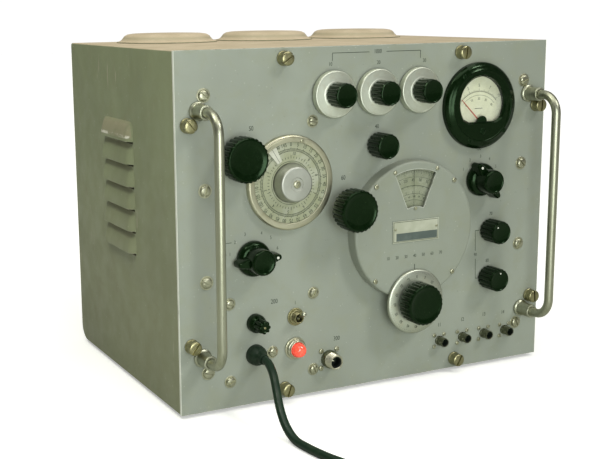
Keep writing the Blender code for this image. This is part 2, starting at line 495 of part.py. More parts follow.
boolean(plug, blades, "UNION", (COIL_C[0] - 34.0, COIL_C[1] - COIL_R - CORD_D, FLOOR + PLUG_R))
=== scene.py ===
import math

import bmesh
import bpy
from mathutils import Matrix, Vector


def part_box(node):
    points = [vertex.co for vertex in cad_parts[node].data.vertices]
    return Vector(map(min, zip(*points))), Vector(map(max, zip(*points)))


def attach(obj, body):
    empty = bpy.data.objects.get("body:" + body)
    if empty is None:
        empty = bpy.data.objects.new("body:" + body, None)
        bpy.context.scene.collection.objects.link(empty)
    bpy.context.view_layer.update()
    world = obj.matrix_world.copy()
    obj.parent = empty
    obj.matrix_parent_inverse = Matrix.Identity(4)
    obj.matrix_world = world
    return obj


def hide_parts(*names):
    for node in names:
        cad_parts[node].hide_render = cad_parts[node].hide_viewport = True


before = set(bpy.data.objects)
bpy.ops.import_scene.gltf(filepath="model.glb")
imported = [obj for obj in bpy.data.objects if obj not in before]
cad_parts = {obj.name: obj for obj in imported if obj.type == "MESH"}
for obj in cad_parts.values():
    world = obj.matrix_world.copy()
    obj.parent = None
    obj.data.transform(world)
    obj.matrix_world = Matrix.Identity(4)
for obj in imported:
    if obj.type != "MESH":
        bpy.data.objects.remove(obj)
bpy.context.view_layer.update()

MM = 0.001
# the panel frame: x across from the middle, y into the case from the panel's face, z up from its lower edge, all in mm
PX = (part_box("front_panel")[0][0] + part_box("front_panel")[1][0]) / 2 / MM
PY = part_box("front_panel")[0][1] / MM
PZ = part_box("front_panel")[0][2] / MM
HALF_W = (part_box("front_panel")[1][0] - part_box("front_panel")[0][0]) / 2 / MM
PANEL_H = (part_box("front_panel")[1][2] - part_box("front_panel")[0][2]) / MM
PANEL_T = (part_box("front_panel")[1][1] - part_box("front_panel")[0][1]) / MM
TAU = 2 * math.pi


def row(x, y, z):
    return Vector((x + PX, y + PY, z + PZ)) * MM


# ---------------------------------------------------------------- camera and light
def camera():
    data = bpy.data.cameras.new("camera")
    data.sensor_width = 36.0
    data.lens = 66.98
    data.shift_x, data.shift_y = 0.0892, -0.0070
    data.clip_start, data.clip_end = 0.05, 60.0
    o = bpy.data.objects.new("camera", data)
    bpy.context.scene.collection.objects.link(o)
    yaw, pitch, roll = 0.4563, 0.1932, -0.0115
    ahead = Vector((math.sin(yaw) * math.cos(pitch), math.cos(yaw) * math.cos(pitch), -math.sin(pitch)))
    right = Vector((math.cos(yaw), -math.sin(yaw), 0.0))
    up = right.cross(ahead)
    r2 = math.cos(roll) * right + math.sin(roll) * up
    u2 = -math.sin(roll) * right + math.cos(roll) * up
    place = row(-620.107, -963.594, 394.482)
    m = Matrix((r2, u2, -ahead)).transposed().to_4x4()
    m.translation = place
    o.matrix_world = m
    bpy.context.scene.camera = o


def area(name, at, look, size, watts, colour=(1, 1, 1), size_y=None):
    data = bpy.data.lights.new(name, "AREA")
    data.energy = watts
    data.color = colour
    data.size = size
    if size_y:
        data.shape = "RECTANGLE"
        data.size_y = size_y
    o = bpy.data.objects.new(name, data)
    bpy.context.scene.collection.objects.link(o)
    o.location = at
    o.rotation_euler = (Vector(look) - Vector(at)).to_track_quat("-Z", "Y").to_euler()
    return o


camera()
scene = bpy.context.scene
scene.view_settings.view_transform = "Standard"
def sun(name, travel, strength, degrees, colour=(1, 1, 1)):
    data = bpy.data.lights.new(name, "SUN")
    data.energy, data.angle, data.color = strength, math.radians(degrees), colour
    o = bpy.data.objects.new(name, data)
    scene.collection.objects.link(o)
    o.rotation_euler = Vector(travel).to_track_quat("-Z", "Y").to_euler()
    return o


sun("key", (-0.62, 0.80, -0.98), 0.98, 14, (1.0, 0.99, 0.96))
sun("overhead", (0.10, 0.12, -1.0), 1.55, 60, (1.0, 0.98, 0.93))
area("left_top", (-0.95, -0.05, 1.75), (-0.22, 0.05, 0.15), 0.45, 7.5, (0.97, 1.0, 0.84))
area("left_front", (-0.34, -1.30, 0.30), (-0.24, -0.13, 0.08), 0.7, 9.2, (0.96, 1.0, 0.98))

world = bpy.data.worlds.new("studio")
scene.world = world
world.use_nodes = True
wt = world.node_tree
wt.nodes.clear()
wo = wt.nodes.new("ShaderNodeOutputWorld")
seen = wt.nodes.new("ShaderNodeBackground")
seen.inputs[0].default_value = (1.0, 1.0, 1.0, 1)
seen.inputs[1].default_value = 1.02
lit = wt.nodes.new("ShaderNodeBackground")
lit.inputs[0].default_value = (0.98, 1.0, 0.93, 1)
lit.inputs[1].default_value = 0.14
path = wt.nodes.new("ShaderNodeLightPath")
wmix = wt.nodes.new("ShaderNodeMixShader")
wt.links.new(path.outputs["Is Camera Ray"], wmix.inputs[0])
wt.links.new(lit.outputs[0], wmix.inputs[1])
wt.links.new(seen.outputs[0], wmix.inputs[2])
wt.links.new(wmix.outputs[0], wo.inputs[0])


# ---------------------------------------------------------------- node helpers
class Mat:
    """A material being built: a Principled shader and short ways to add nodes."""

    def __init__(self, name, base=(0.5, 0.5, 0.5), rough=0.5, metal=0.0, spec=0.5):
        self.m = bpy.data.materials.new(name)
        self.m.use_nodes = True
        self.t = self.m.node_tree
        self.b = self.t.nodes["Principled BSDF"]
        self.b.inputs["Base Color"].default_value = (*base, 1)
        self.b.inputs["Roughness"].default_value = rough
        self.b.inputs["Metallic"].default_value = metal
        self.b.inputs["Specular IOR Level"].default_value = spec
        self.coord = self.t.nodes.new("ShaderNodeTexCoord").outputs["Object"]

    def node(self, kind, **kw):
        n = self.t.nodes.new(kind)
        for k, v in kw.items():
            setattr(n, k, v)
        return n

    def link(self, a, b):
        self.t.links.new(a, b)

    def noise(self, scale, detail=3.0, rough=0.55, distort=0.0, vector=None, dims="3D"):
        n = self.node("ShaderNodeTexNoise", noise_dimensions=dims)
        n.inputs["Scale"].default_value = scale
        n.inputs["Detail"].default_value = detail
        n.inputs["Roughness"].default_value = rough
        n.inputs["Distortion"].default_value = distort
        if dims == "1D":
            self.link(vector, n.inputs["W"])
        else:
            self.link(vector or self.coord, n.inputs["Vector"])
        return n.outputs[0]

    def voronoi(self, scale, feature="F1", vector=None):
        n = self.node("ShaderNodeTexVoronoi", feature=feature)
        n.inputs["Scale"].default_value = scale
        self.link(vector or self.coord, n.inputs["Vector"])
        return n.outputs[0]

    def ramp(self, fac, low, high, a=0.0, b=1.0):
        n = self.node("ShaderNodeMapRange", interpolation_type="SMOOTHSTEP")
        n.inputs["From Min"].default_value = low
        n.inputs["From Max"].default_value = high
        n.inputs["To Min"].default_value = a
        n.inputs["To Max"].default_value = b
        self.link(fac, n.inputs["Value"])
        return n.outputs[0]

    def math(self, op, a, b=None, c=None):
        n = self.node("ShaderNodeMath", operation=op)
        for k, v in enumerate((a, b, c)):
            if v is None:
                continue
            if isinstance(v, (int, float)):
                n.inputs[k].default_value = v
            else:
                self.link(v, n.inputs[k])
        return n.outputs[0]

    def mix(self, fac, a, b, kind="MIX"):
        n = self.node("ShaderNodeMix", data_type="RGBA", blend_type=kind)
        for sock, v in ((n.inputs[0], fac), (n.inputs[6], a), (n.inputs[7], b)):
            if isinstance(v, (int, float)):
                sock.default_value = v
            elif isinstance(v, tuple):
                sock.default_value = (*v, 1) if len(v) == 3 else v
            else:
                self.link(v, sock)
        return n.outputs[2]

    def colour(self, out):
        self.link(out, self.b.inputs["Base Color"])
        return self

    def rough(self, out):
        self.link(out, self.b.inputs["Roughness"])
        return self

    def bump(self, height, distance, strength=1.0):
        n = self.node("ShaderNodeBump")
        n.inputs["Distance"].default_value = distance
        n.inputs["Strength"].default_value = strength
        self.link(height, n.inputs["Height"])
        if self.b.inputs["Normal"].is_linked:
            self.link(self.b.inputs["Normal"].links[0].from_socket, n.inputs["Normal"])
        self.link(n.outputs[0], self.b.inputs["Normal"])
        return self

    def edge(self, radius):
        """0 on flat faces, towards 1 along worn edges."""
        bev = self.node("ShaderNodeBevel", samples=6)
        bev.inputs["Radius"].default_value = radius
        geo = self.node("ShaderNodeNewGeometry")
        dot = self.node("ShaderNodeVectorMath", operation="DOT_PRODUCT")
        self.link(bev.outputs[0], dot.inputs[0])
        self.link(geo.outputs["Normal"], dot.inputs[1])
        return self.math("SUBTRACT", 1.0, dot.outputs["Value"])

    def axis(self, which, source="Object"):
        n = self.node("ShaderNodeSeparateXYZ")
        self.link(self.coord, n.inputs[0])
        return n.outputs[which]

    def normal_axis(self, which):
        geo = self.node("ShaderNodeNewGeometry")
        n = self.node("ShaderNodeSeparateXYZ")
        self.link(geo.outputs["Normal"], n.inputs[0])
        return n.outputs[which]

    def radius(self, axis="Y"):
        """Distance from the object's own axis."""
        n = self.node("ShaderNodeVectorMath", operation="MULTIPLY")
        n.inputs[1].default_value = {"Y": (1, 0, 1), "Z": (1, 1, 0), "X": (0, 1, 1)}[axis]
        self.link(self.coord, n.inputs[0])
        l = self.node("ShaderNodeVectorMath", operation="LENGTH")
        self.link(n.outputs[0], l.inputs[0])
        return l.outputs["Value"]


def stretched(m, sx, sy, sz):
    n = m.node("ShaderNodeMapping")
    n.inputs["Scale"].default_value = (sx, sy, sz)
    m.link(m.coord, n.inputs["Vector"])
    return n.outputs[0]


def scaled(c, k):
    return tuple(min(1.0, v * k) for v in c)


# ---------------------------------------------------------------- materials
def panel_paint(name, base, wear=(0.66, 0.67, 0.60), edge_r=0.0011, wear_from=0.015):
    """Old satin enamel: mottled tone, fine orange peel, small specks, rubbed edges."""
    m = Mat(name, base, 0.42, 0.0, 0.45)
    broad = m.noise(7.0, 3.0, 0.6)
    cloudy = m.noise(46.0, 4.0, 0.6, 0.4)
    c = m.mix(m.ramp(broad, 0.35, 0.68), scaled(base, 0.93), scaled(base, 1.05))
    c = m.mix(m.ramp(cloudy, 0.42, 0.72, 0.0, 0.45), c, (base[0] * 0.95, base[1] * 0.93, base[2] * 0.80))
    grime = m.ramp(m.noise(240.0, 2.0, 0.7), 0.70, 0.80, 0.0, 0.55)
    c = m.mix(grime, c, scaled(base, 0.60))
    specks = m.ramp(m.voronoi(150.0), 0.045, 0.075, 0.6, 0.0)
    c = m.mix(specks, c, (0.62, 0.62, 0.55))
    worn = m.math("MULTIPLY", m.ramp(m.edge(edge_r), wear_from, wear_from + 0.12), m.ramp(m.noise(60.0, 4.0, 0.7), 0.34, 0.52))
    c = m.mix(worn, c, wear)
    if name == "panel_enamel":
        rim = m.ramp(m.math("ABSOLUTE", m.axis(0)), (HALF_W - 0.45) * MM, (HALF_W - 0.20) * MM)
        c = m.mix(m.math("MULTIPLY", rim, m.ramp(m.noise(34.0, 4.0, 0.7), 0.25, 0.45, 0.35, 1.0)), c, (0.80, 0.82, 0.74))
    m.colour(c)
    m.rough(m.ramp(m.noise(60.0, 3.0), 0.3, 0.7, 0.36, 0.52))
    m.bump(m.noise(1500.0, 2.0, 0.5), 0.00004, 0.55)
    m.bump(m.noise(110.0, 2.0, 0.5), 0.00012, 0.30)
    return m.m


def cabinet_paint():
    """The case: the same enamel, browner and scratched on the sides, and a matt film of dust on what faces up."""
    base = (0.250, 0.280, 0.165)
    m = Mat("cabinet_enamel", base, 0.5, 0.0, 0.4)
    broad = m.noise(5.0, 4.0, 0.65, 0.6)
    c = m.mix(m.ramp(broad, 0.32, 0.70), scaled(base, 0.86), scaled(base, 1.12))
    low = m.ramp(m.axis(2), 0.02, 0.30, 1.0, 0.0)
    c = m.mix(m.math("MULTIPLY", low, 0.55), c, (0.29, 0.29, 0.19))
    c = m.mix(m.ramp(m.noise(30.0, 5.0, 0.7, 1.0), 0.50, 0.78, 0.0, 0.5), c, (0.24, 0.235, 0.14))
    # long fine scratches and rubs, mostly near the lower front of the sides
    lines = m.ramp(m.noise(1.0, 3.0, 0.6, 0.0, stretched(m, 40.0, 210.0, 26.0)), 0.665, 0.70, 0.0, 0.7)
    lines = m.math("MULTIPLY", lines, m.ramp(m.noise(8.0, 2.0), 0.48, 0.62))
    c = m.mix(lines, c, (0.46, 0.42, 0.32))
    # flaked paint on the upper scoop's lip and along edges
    chip_noise = m.noise(120.0, 4.0, 0.75)
    y, z, x = m.axis(1), m.axis(2), m.math("ABSOLUTE", m.axis(0))
    lip = m.math("MULTIPLY", m.ramp(z, row(0, 0, 256.5).z, row(0, 0, 261.0).z), m.ramp(z, row(0, 0, 284.0).z, row(0, 0, 272.0).z))
    lip = m.math("MULTIPLY", lip, m.ramp(x, (HALF_W + 0.6) * MM, (HALF_W + 2.2) * MM))
    front = m.math("MULTIPLY", lip, m.ramp(chip_noise, 0.34, 0.50, 0.25, 0.75))
    c = m.mix(front, c, (0.33, 0.30, 0.20))
    rim = m.math("MULTIPLY", m.math("MULTIPLY", m.ramp(z, row(0, 0, 258.6).z, row(0, 0, 259.0).z), m.ramp(z, row(0, 0, 262.2).z, row(0, 0, 261.0).z)), m.ramp(x, (HALF_W + 2.0) * MM, (HALF_W + 3.5) * MM))
    c = m.mix(m.math("MULTIPLY", rim, m.ramp(m.noise(75.0, 4.0, 0.7), 0.46, 0.52)), c, (0.72, 0.70, 0.60))
    ridge = m.math("MULTIPLY", m.ramp(m.edge(0.0012), 0.05, 0.20), m.ramp(m.noise(70.0, 4.0, 0.7), 0.47, 0.62))
    c = m.mix(m.math("MULTIPLY", ridge, 0.8), c, (0.56, 0.52, 0.42))
    specks = m.ramp(m.voronoi(95.0), 0.05, 0.085, 0.55, 0.0)
    c = m.mix(specks, c, (0.48, 0.47, 0.38))
    # dust on upward faces
    top = m.ramp(m.normal_axis(2), 0.35, 0.85)
    dust = m.mix(m.ramp(m.noise(26.0, 5.0, 0.65), 0.35, 0.70), (0.50, 0.415, 0.285), (0.60, 0.505, 0.365))
    dust = m.mix(m.ramp(m.noise(420.0, 2.0, 0.7), 0.60, 0.74, 0.0, 0.5), dust, (0.36, 0.31, 0.21))
    c = m.mix(top, c, dust)
    m.colour(c)
    m.rough(m.math("ADD", m.ramp(m.noise(40.0, 3.0), 0.3, 0.7, 0.40, 0.56), m.math("MULTIPLY", top, 0.3)))
    m.bump(m.noise(1100.0, 2.0, 0.5), 0.00005, 0.6)
    m.bump(m.noise(60.0, 3.0, 0.5), 0.00022, 0.35)
    return m.m


def bakelite(name="bakelite_black", base=(0.0012, 0.0062, 0.0010), rough=0.17):
    m = Mat(name, base, rough, 0.0, 0.22)
    m.b.inputs["Specular Tint"].default_value = (0.55, 1.0, 0.50, 1)
    m.b.inputs["Coat Weight"].default_value = 0.05
    m.b.inputs["Coat Roughness"].default_value = 0.08
    c = m.mix(m.ramp(m.noise(160.0, 4.0, 0.6, 0.6), 0.45, 0.75, 0.0, 0.6), base, (0.0035, 0.0095, 0.0025))
    dust = m.ramp(m.noise(900.0, 2.0, 0.7), 0.68, 0.78, 0.0, 0.14)
    c = m.mix(dust, c, (0.12, 0.125, 0.095))
    m.colour(c)
    m.rough(m.ramp(m.noise(210.0, 3.0), 0.3, 0.75, rough * 0.75, rough * 1.7))
    m.bump(m.noise(900.0, 2.0), 0.00003, 0.5)
    return m.m


def plated(name, base, rough, tarnish, amount=0.5, axis=None, grain=2600.0):
    """Plated metal with tarnish in patches and, with an axis, turning marks round it."""
    m = Mat(name, base, rough, 1.0)
    patch = m.ramp(m.noise(120.0, 5.0, 0.65, 0.6), 0.42, 0.72, 0.0, amount)
    c = m.mix(patch, base, tarnish)
    c = m.mix(m.ramp(m.noise(1400.0, 2.0, 0.7), 0.66, 0.78, 0.0, 0.10), c, scaled(tarnish, 0.5))
    m.colour(c)
    m.rough(m.math("ADD", m.ramp(m.noise(300.0, 3.0), 0.3, 0.7, rough * 0.75, rough * 1.25), m.math("MULTIPLY", patch, 0.10)))
    if axis:
        m.bump(m.noise(grain, 2.0, 0.6, 0.0, m.radius(axis), "1D"), 0.00003, 0.5)
    m.bump(m.noise(260.0, 2.0), 0.00002, 0.15)
    return m.m


def brushed_disc(name, base, rough, aniso=0.55, tint=(0.5, 0.48, 0.36)):
    """Aluminium turned about the object's Y axis: fine rings and a fan-shaped highlight."""
    m = Mat(name, base, rough, 1.0)
    m.b.inputs["Anisotropic"].default_value = aniso
    tan = m.node("ShaderNodeTangent", direction_type="RADIAL", axis="Y")
    m.link(tan.outputs[0], m.b.inputs["Tangent"])
    rings = m.noise(3400.0, 3.0, 0.6, 0.0, m.radius("Y"), "1D")
    c = m.mix(m.ramp(rings, 0.35, 0.7), scaled(base, 0.90), scaled(base, 1.04))
    c = m.mix(m.ramp(m.noise(110.0, 4.0, 0.6), 0.48, 0.75, 0.0, 0.55), c, tint)
    m.colour(c)
    m.rough(m.ramp(rings, 0.3, 0.7, rough * 0.8, rough * 1.2))
    m.bump(rings, 0.00003, 0.35)
    return m.m


def drawn_rod():
    m = Mat("handle_nickel", (0.40, 0.41, 0.31), 0.26, 1.0)
    streak = m.noise(1.0, 3.0, 0.6, 0.0, stretched(m, 700.0, 700.0, 9.0))
    c = m.mix(m.ramp(streak, 0.35, 0.7), (0.36, 0.37, 0.27), (0.47, 0.48, 0.38))
    c = m.mix(m.ramp(m.noise(26.0, 3.0), 0.5, 0.8, 0.0, 0.35), c, (0.28, 0.29, 0.18))
    m.colour(c)
    m.rough(m.ramp(streak, 0.3, 0.7, 0.32, 0.44))
    m.bump(streak, 0.00001, 0.2)
    return m.m


def dial_enamel(name, base, low, rough=0.45):
    m = Mat(name, base, rough, 0.0, 0.5)
    c = m.mix(m.ramp(m.noise(55.0, 4.0, 0.6, 0.5), 0.38, 0.72), low, base)
    c = m.mix(m.ramp(m.noise(700.0, 2.0, 0.7), 0.66, 0.78, 0.0, 0.4), c, scaled(low, 0.6))
    m.colour(c)
    m.rough(m.ramp(m.noise(90.0, 3.0), 0.3, 0.7, rough * 0.8, rough * 1.2))
    m.bump(m.noise(1300.0, 2.0), 0.00003, 0.4)
    return m.m


def ink(name, base=(0.030, 0.038, 0.026)):
    m = Mat(name, base, 0.6, 0.0, 0.3)
    m.colour(m.mix(m.ramp(m.noise(900.0, 3.0, 0.7), 0.45, 0.72, 0.0, 0.65), base, scaled(base, 3.0)))
    m.rough(m.ramp(m.noise(400.0, 2.0), 0.3, 0.7, 0.5, 0.7))
    m.bump(m.noise(2500.0, 2.0), 0.00002, 0.4)
    return m.m


def rubber(name="rubber_black", base=(0.004, 0.016, 0.006), rough=0.50):
    m = Mat(name, base, rough, 0.0, 0.3)
    c = m.mix(m.ramp(m.noise(80.0, 4.0, 0.65), 0.45, 0.75), base, (0.014, 0.030, 0.014))
    c = m.mix(m.ramp(m.noise(1200.0, 2.0, 0.7), 0.66, 0.76, 0.0, 0.4), c, (0.10, 0.10, 0.075))
    m.colour(c)
    m.rough(m.ramp(m.noise(150.0, 3.0), 0.3, 0.7, rough * 0.8, rough * 1.25))
    m.bump(m.noise(1800.0, 2.0, 0.6), 0.00006, 0.7)
    return m.m


def window_glass(name):
    m = bpy.data.materials.new(name)
    m.use_nodes = True
    t = m.node_tree
    t.nodes.clear()
    out = t.nodes.new("ShaderNodeOutputMaterial")
    clear = t.nodes.new("ShaderNodeBsdfTransparent")
    clear.inputs[0].default_value = (0.98, 0.99, 0.96, 1)
    gloss = t.nodes.new("ShaderNodeBsdfPrincipled")
    gloss.inputs["Base Color"].default_value = (0.75, 0.78, 0.72, 1)
    gloss.inputs["Roughness"].default_value = 0.07
    fres = t.nodes.new("ShaderNodeFresnel")
    fres.inputs[0].default_value = 1.35
    coord = t.nodes.new("ShaderNodeTexCoord")
    haze = t.nodes.new("ShaderNodeTexNoise")
    haze.inputs["Scale"].default_value = 60.0
    haze.inputs["Detail"].default_value = 5.0
    t.links.new(coord.outputs["Object"], haze.inputs["Vector"])
    r = t.nodes.new("ShaderNodeMapRange")
    r.inputs["From Min"].default_value, r.inputs["From Max"].default_value = 0.4, 0.8
    r.inputs["To Min"].default_value, r.inputs["To Max"].default_value = 0.0, 0.06
    t.links.new(haze.outputs[0], r.inputs["Value"])
    geo = t.nodes.new("ShaderNodeNewGeometry")
    front = t.nodes.new("ShaderNodeMath")
    front.operation = "SUBTRACT"
    front.inputs[0].default_value = 1.0
    t.links.new(geo.outputs["Backfacing"], front.inputs[1])
    outer = t.nodes.new("ShaderNodeMath")
    outer.operation = "MULTIPLY"
    t.links.new(fres.outputs[0], outer.inputs[0])
    t.links.new(front.outputs[0], outer.inputs[1])
    add = t.nodes.new("ShaderNodeMath")
    add.operation = "ADD"
    t.links.new(outer.outputs[0], add.inputs[0])
    t.links.new(r.outputs[0], add.inputs[1])
    mix = t.nodes.new("ShaderNodeMixShader")
    t.links.new(add.outputs[0], mix.inputs[0])
    t.links.new(clear.outputs[0], mix.inputs[1])
    t.links.new(gloss.outputs[0], mix.inputs[2])
    t.links.new(mix.outputs[0], out.inputs[0])
    return m


def red_jewel():
    m = Mat("lamp_red_painted_glow", (0.85, 0.055, 0.03), 0.10, 0.0, 0.6)
    # painted shading: the Layer Weight facing blend makes the jewel lighter in the middle and darker towards its rim
    lw = m.node("ShaderNodeLayerWeight")
    lw.inputs[0].default_value = 0.35
    c = m.mix(m.ramp(lw.outputs["Facing"], 0.1, 0.9), (0.95, 0.10, 0.055), (0.50, 0.015, 0.012))
    c = m.mix(m.ramp(m.noise(420.0, 3.0, 0.6), 0.45, 0.7, 0.0, 0.5), c, (0.98, 0.20, 0.12))
    m.colour(c)
    # painted glow: a faint red emission on the jewel
    m.b.inputs["Emission Color"].default_value = (1.0, 0.06, 0.035, 1)
    m.b.inputs["Emission Strength"].default_value = 0.45
    m.b.inputs["Coat Weight"].default_value = 0.6
    m.b.inputs["Coat Roughness"].default_value = 0.03
    m.rough(m.ramp(m.noise(300.0, 2.0), 0.3, 0.7, 0.06, 0.16))
    m.bump(m.noise(260.0, 2.0), 0.00006, 0.5)
    return m.m


def sheet_steel(name, base=(0.55, 0.55, 0.50), rough=0.38):
    m = Mat(name, base, rough, 1.0)
    c = m.mix(m.ramp(m.noise(24.0, 4.0, 0.6, 0.8), 0.35, 0.7), scaled(base, 0.8), (0.60, 0.57, 0.42))
    m.colour(c)
    m.rough(m.ramp(m.noise(1.0, 4.0, 0.6, 0.0, stretched(m, 30.0, 30.0, 900.0)), 0.3, 0.7, rough * 0.75, rough * 1.3))
    m.bump(m.noise(700.0, 2.0), 0.00003, 0.4)
    return m.m


PAINT = (0.300, 0.328, 0.276)
M = {
    "paint": panel_paint("panel_enamel", PAINT),
    # painted shade: the dial cover wears the panel's enamel, and its darker base and edge-wear colours are a shaded
    # copy of it, standing in for the lower light on the right of the panel
    "cover": panel_paint("cover_enamel_shaded_copy", (0.275, 0.301, 0.249), (0.60, 0.62, 0.54), 0.0016, 0.02),
    "case": cabinet_paint(),
    "bakelite": bakelite(),
    "bakelite_dull": bakelite("bakelite_grip", (0.003, 0.011, 0.003), 0.27),
    "bore": rubber("bore_shadow", (0.0015, 0.003, 0.0015), 0.75),
    "nickel": plated("nickel_plate", (0.54, 0.53, 0.41), 0.36, (0.34, 0.34, 0.22), 0.40),
    "rod": drawn_rod(),
    "brass": plated("captive_screw_plate", (0.34, 0.32, 0.18), 0.38, (0.18, 0.18, 0.08), 0.55, "Y"),
    "screw": plated("screw_plate", (0.46, 0.46, 0.34), 0.37, (0.29, 0.30, 0.18), 0.40),
    "dark": plated("connector_plate", (0.17, 0.18, 0.12), 0.30, (0.07, 0.08, 0.045), 0.6),
    "skirt": brushed_disc("skirt_aluminium", (0.63, 0.66, 0.56), 0.47, 0.3),
    "freq_skirt": brushed_disc("frequency_skirt_aluminium", (0.52, 0.55, 0.46), 0.42, 0.45),
    "ring": brushed_disc("bezel_aluminium", (0.56, 0.55, 0.41), 0.36, 0.4, (0.42, 0.40, 0.25)),
    "hub": brushed_disc("hub_aluminium", (0.505, 0.520, 0.465), 0.52, 0.2, (0.43, 0.44, 0.38)),
    "atten": dial_enamel("attenuator_face", (0.42, 0.44, 0.34), (0.32, 0.34, 0.22)),
    "cursor": dial_enamel("cursor_plate", (0.62, 0.63, 0.54), (0.52, 0.53, 0.43), 0.3),
    "freq": dial_enamel("frequency_dial_face", (0.34, 0.35, 0.29), (0.25, 0.265, 0.19)),
    "card": dial_enamel("meter_card", (0.80, 0.79, 0.68), (0.72, 0.71, 0.58), 0.6),
    "plate_light": dial_enamel("nameplate_light", (0.47, 0.49, 0.39), (0.39, 0.41, 0.31)),
    "plate_dark": dial_enamel("nameplate_dark", (0.115, 0.145, 0.130), (0.080, 0.105, 0.095), 0.35),
    "ink": ink("print_black", (0.016, 0.026, 0.013)),
    "ink_soft": ink("print_worn", (0.060, 0.070, 0.050)),
    "white": ink("print_white", (0.70, 0.72, 0.62)),
    "red": dial_enamel("pointer_red", (0.62, 0.10, 0.05), (0.45, 0.06, 0.035), 0.35),
    "rubber": rubber(),
    "cord": rubber("cord_rubber", (0.005, 0.020, 0.009), 0.40),
    "glass": window_glass("window_glass"),
    "lamp": red_jewel(),
    "steel": sheet_steel("chassis_plate"),
    "core": sheet_steel("transformer_core", (0.30, 0.31, 0.32), 0.5),
    "cavity": sheet_steel("cavity_aluminium", (0.66, 0.66, 0.62), 0.33),
    "floor": None,
}


def tube_glass():
    m = Mat("tube_silvered", (0.16, 0.16, 0.17), 0.06, 0.0, 0.6)
    c = m.mix(m.ramp(m.axis(2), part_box("rectifier_tube")[0][2] + 0.040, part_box("rectifier_tube")[0][2] + 0.055), (0.045, 0.045, 0.05), (0.55, 0.55, 0.56))
    m.colour(m.mix(m.ramp(m.noise(150.0, 3.0), 0.5, 0.8, 0.0, 0.4), c, (0.02, 0.02, 0.02)))
    m.b.inputs["Coat Weight"].default_value = 1.0
    m.rough(m.ramp(m.noise(90.0, 2.0), 0.3, 0.7, 0.05, 0.12))
    m.bump(m.noise(400.0, 2.0), 0.00002, 0.3)
    return m.m


M["tube"] = tube_glass()


# ---------------------------------------------------------------- mesh helpers (mm about an origin in the panel frame)
def make(name, bm, material, origin=(0, 0, 0), body="chassis", replaces=(), sharp=32, smooth=True):
    bmesh.ops.scale(bm, vec=(MM, MM, MM), verts=bm.verts)
    mesh = bpy.data.meshes.new(name)
    bm.to_mesh(mesh)
    bm.free()
    o = bpy.data.objects.new(name, mesh)
    scene.collection.objects.link(o)
    o.location = row(*origin)
    mats = material if isinstance(material, (list, tuple)) else [material]
    for k in mats:
        mesh.materials.append(M[k])
    if smooth:
        mesh.shade_smooth()
        mesh.set_sharp_from_angle(angle=math.radians(sharp))
    if body:
        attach(o, body)
    if replaces:
        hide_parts(*replaces)
    return o


def booleans(o, steps, sharp=32):
    """Runs EXACT Booleans, then keeps the result as the object's mesh."""
    tools = []
    for bm, operation in steps:
        bmesh.ops.scale(bm, vec=(MM, MM, MM), verts=bm.verts)
        mesh = bpy.data.meshes.new("tool")
        bm.to_mesh(mesh)
        bm.free()
        for k in o.data.materials:
            mesh.materials.append(k)
        t = bpy.data.objects.new("tool", mesh)
        scene.collection.objects.link(t)
        t.location = o.matrix_world.translation
        tools.append(t)
        md = o.modifiers.new("cut", "BOOLEAN")
        md.operation, md.solver, md.object = operation, "EXACT", t
    bpy.context.view_layer.update()
    for t in tools:
        t.location = o.matrix_world.translation
    bpy.context.view_layer.update()
    new = bpy.data.meshes.new_from_object(o.evaluated_get(bpy.context.evaluated_depsgraph_get()))
    o.modifiers.clear()
    old = o.data
    o.data = new
    new.name = o.name
    bpy.data.meshes.remove(old)
    for t in tools:
        data = t.data
        bpy.data.objects.remove(t, do_unlink=True)
        bpy.data.meshes.remove(data)
    new.shade_smooth()
    new.set_sharp_from_angle(angle=math.radians(sharp))
    return o


PLACE = {"Y": lambda u, v, h: (u, h, v), "Z": lambda u, v, h: (u, v, h), "X": lambda u, v, h: (h, u, v)}


def lathe(bm, profile, n=64, axis="Y", centre=(0, 0, 0), loop=False, wave=None, mat=0, mats=None):
    """Turns (radius, height) points. wave(angle, k) changes the radius of ring k, so a grip can be fluted."""
    place, c = PLACE[axis], Vector(centre)
    rings = []
    for i, (r, h) in enumerate(profile):
        if r < 1e-6:
            rings.append([bm.verts.new(c + Vector(place(0, 0, h)))])
            continue
        ring = []
        for k in range(n):
            a = TAU * k / n
            q = wave(a, i, r) if wave else r
            ring.append(bm.verts.new(c + Vector(place(q * math.sin(a), q * math.cos(a), h))))
        rings.append(ring)
    faces = []
    pairs = list(zip(rings, rings[1:])) + ([(rings[-1], rings[0])] if loop else [])
    for i, (a, b) in enumerate(pairs):
        for k in range(n):
            q = (k + 1) % n
            corners = [a[k % len(a)], a[q % len(a)], b[q % len(b)], b[k % len(b)]]
            corners = [v for j, v in enumerate(corners) if v not in corners[:j]]
            if len(corners) > 2:
                f = bm.faces.new(corners)
                f.material_index = mats[i] if mats else mat
                faces.append(f)
    bmesh.ops.recalc_face_normals(bm, faces=faces)
    return bm


def rounded(points, radii, steps=4):
    """Rounds the corners of an open profile. radii names point: radius."""
    out = []
    for i, p in enumerate(points):
        r = radii.get(i, 0)
        if not r or i in (0, len(points) - 1):
            out.append(p)
            continue
        a, b, c = Vector(points[i - 1]), Vector(p), Vector(points[i + 1])
        u, v = (a - b), (c - b)
        d = min(r, u.length * 0.49, v.length * 0.49)
        s, e = b + u.normalized() * d, b + v.normalized() * d
        for k in range(steps + 1):
            t = k / steps
            q = s * (1 - t) ** 2 + b * 2 * t * (1 - t) + e * t ** 2
            out.append((q.x, q.y))
    return out


def box(bm, x, y, z, mat=0):
    v = [bm.verts.new((a, b, c)) for a in x for b in y for c in z]
    faces = [bm.faces.new([v[k] for k in q]) for q in ((0, 1, 3, 2), (4, 6, 7, 5), (0, 4, 5, 1), (2, 3, 7, 6), (0, 2, 6, 4), (1, 5, 7, 3))]
    for f in faces:
        f.material_index = mat
    bmesh.ops.recalc_face_normals(bm, faces=faces)
    return bm


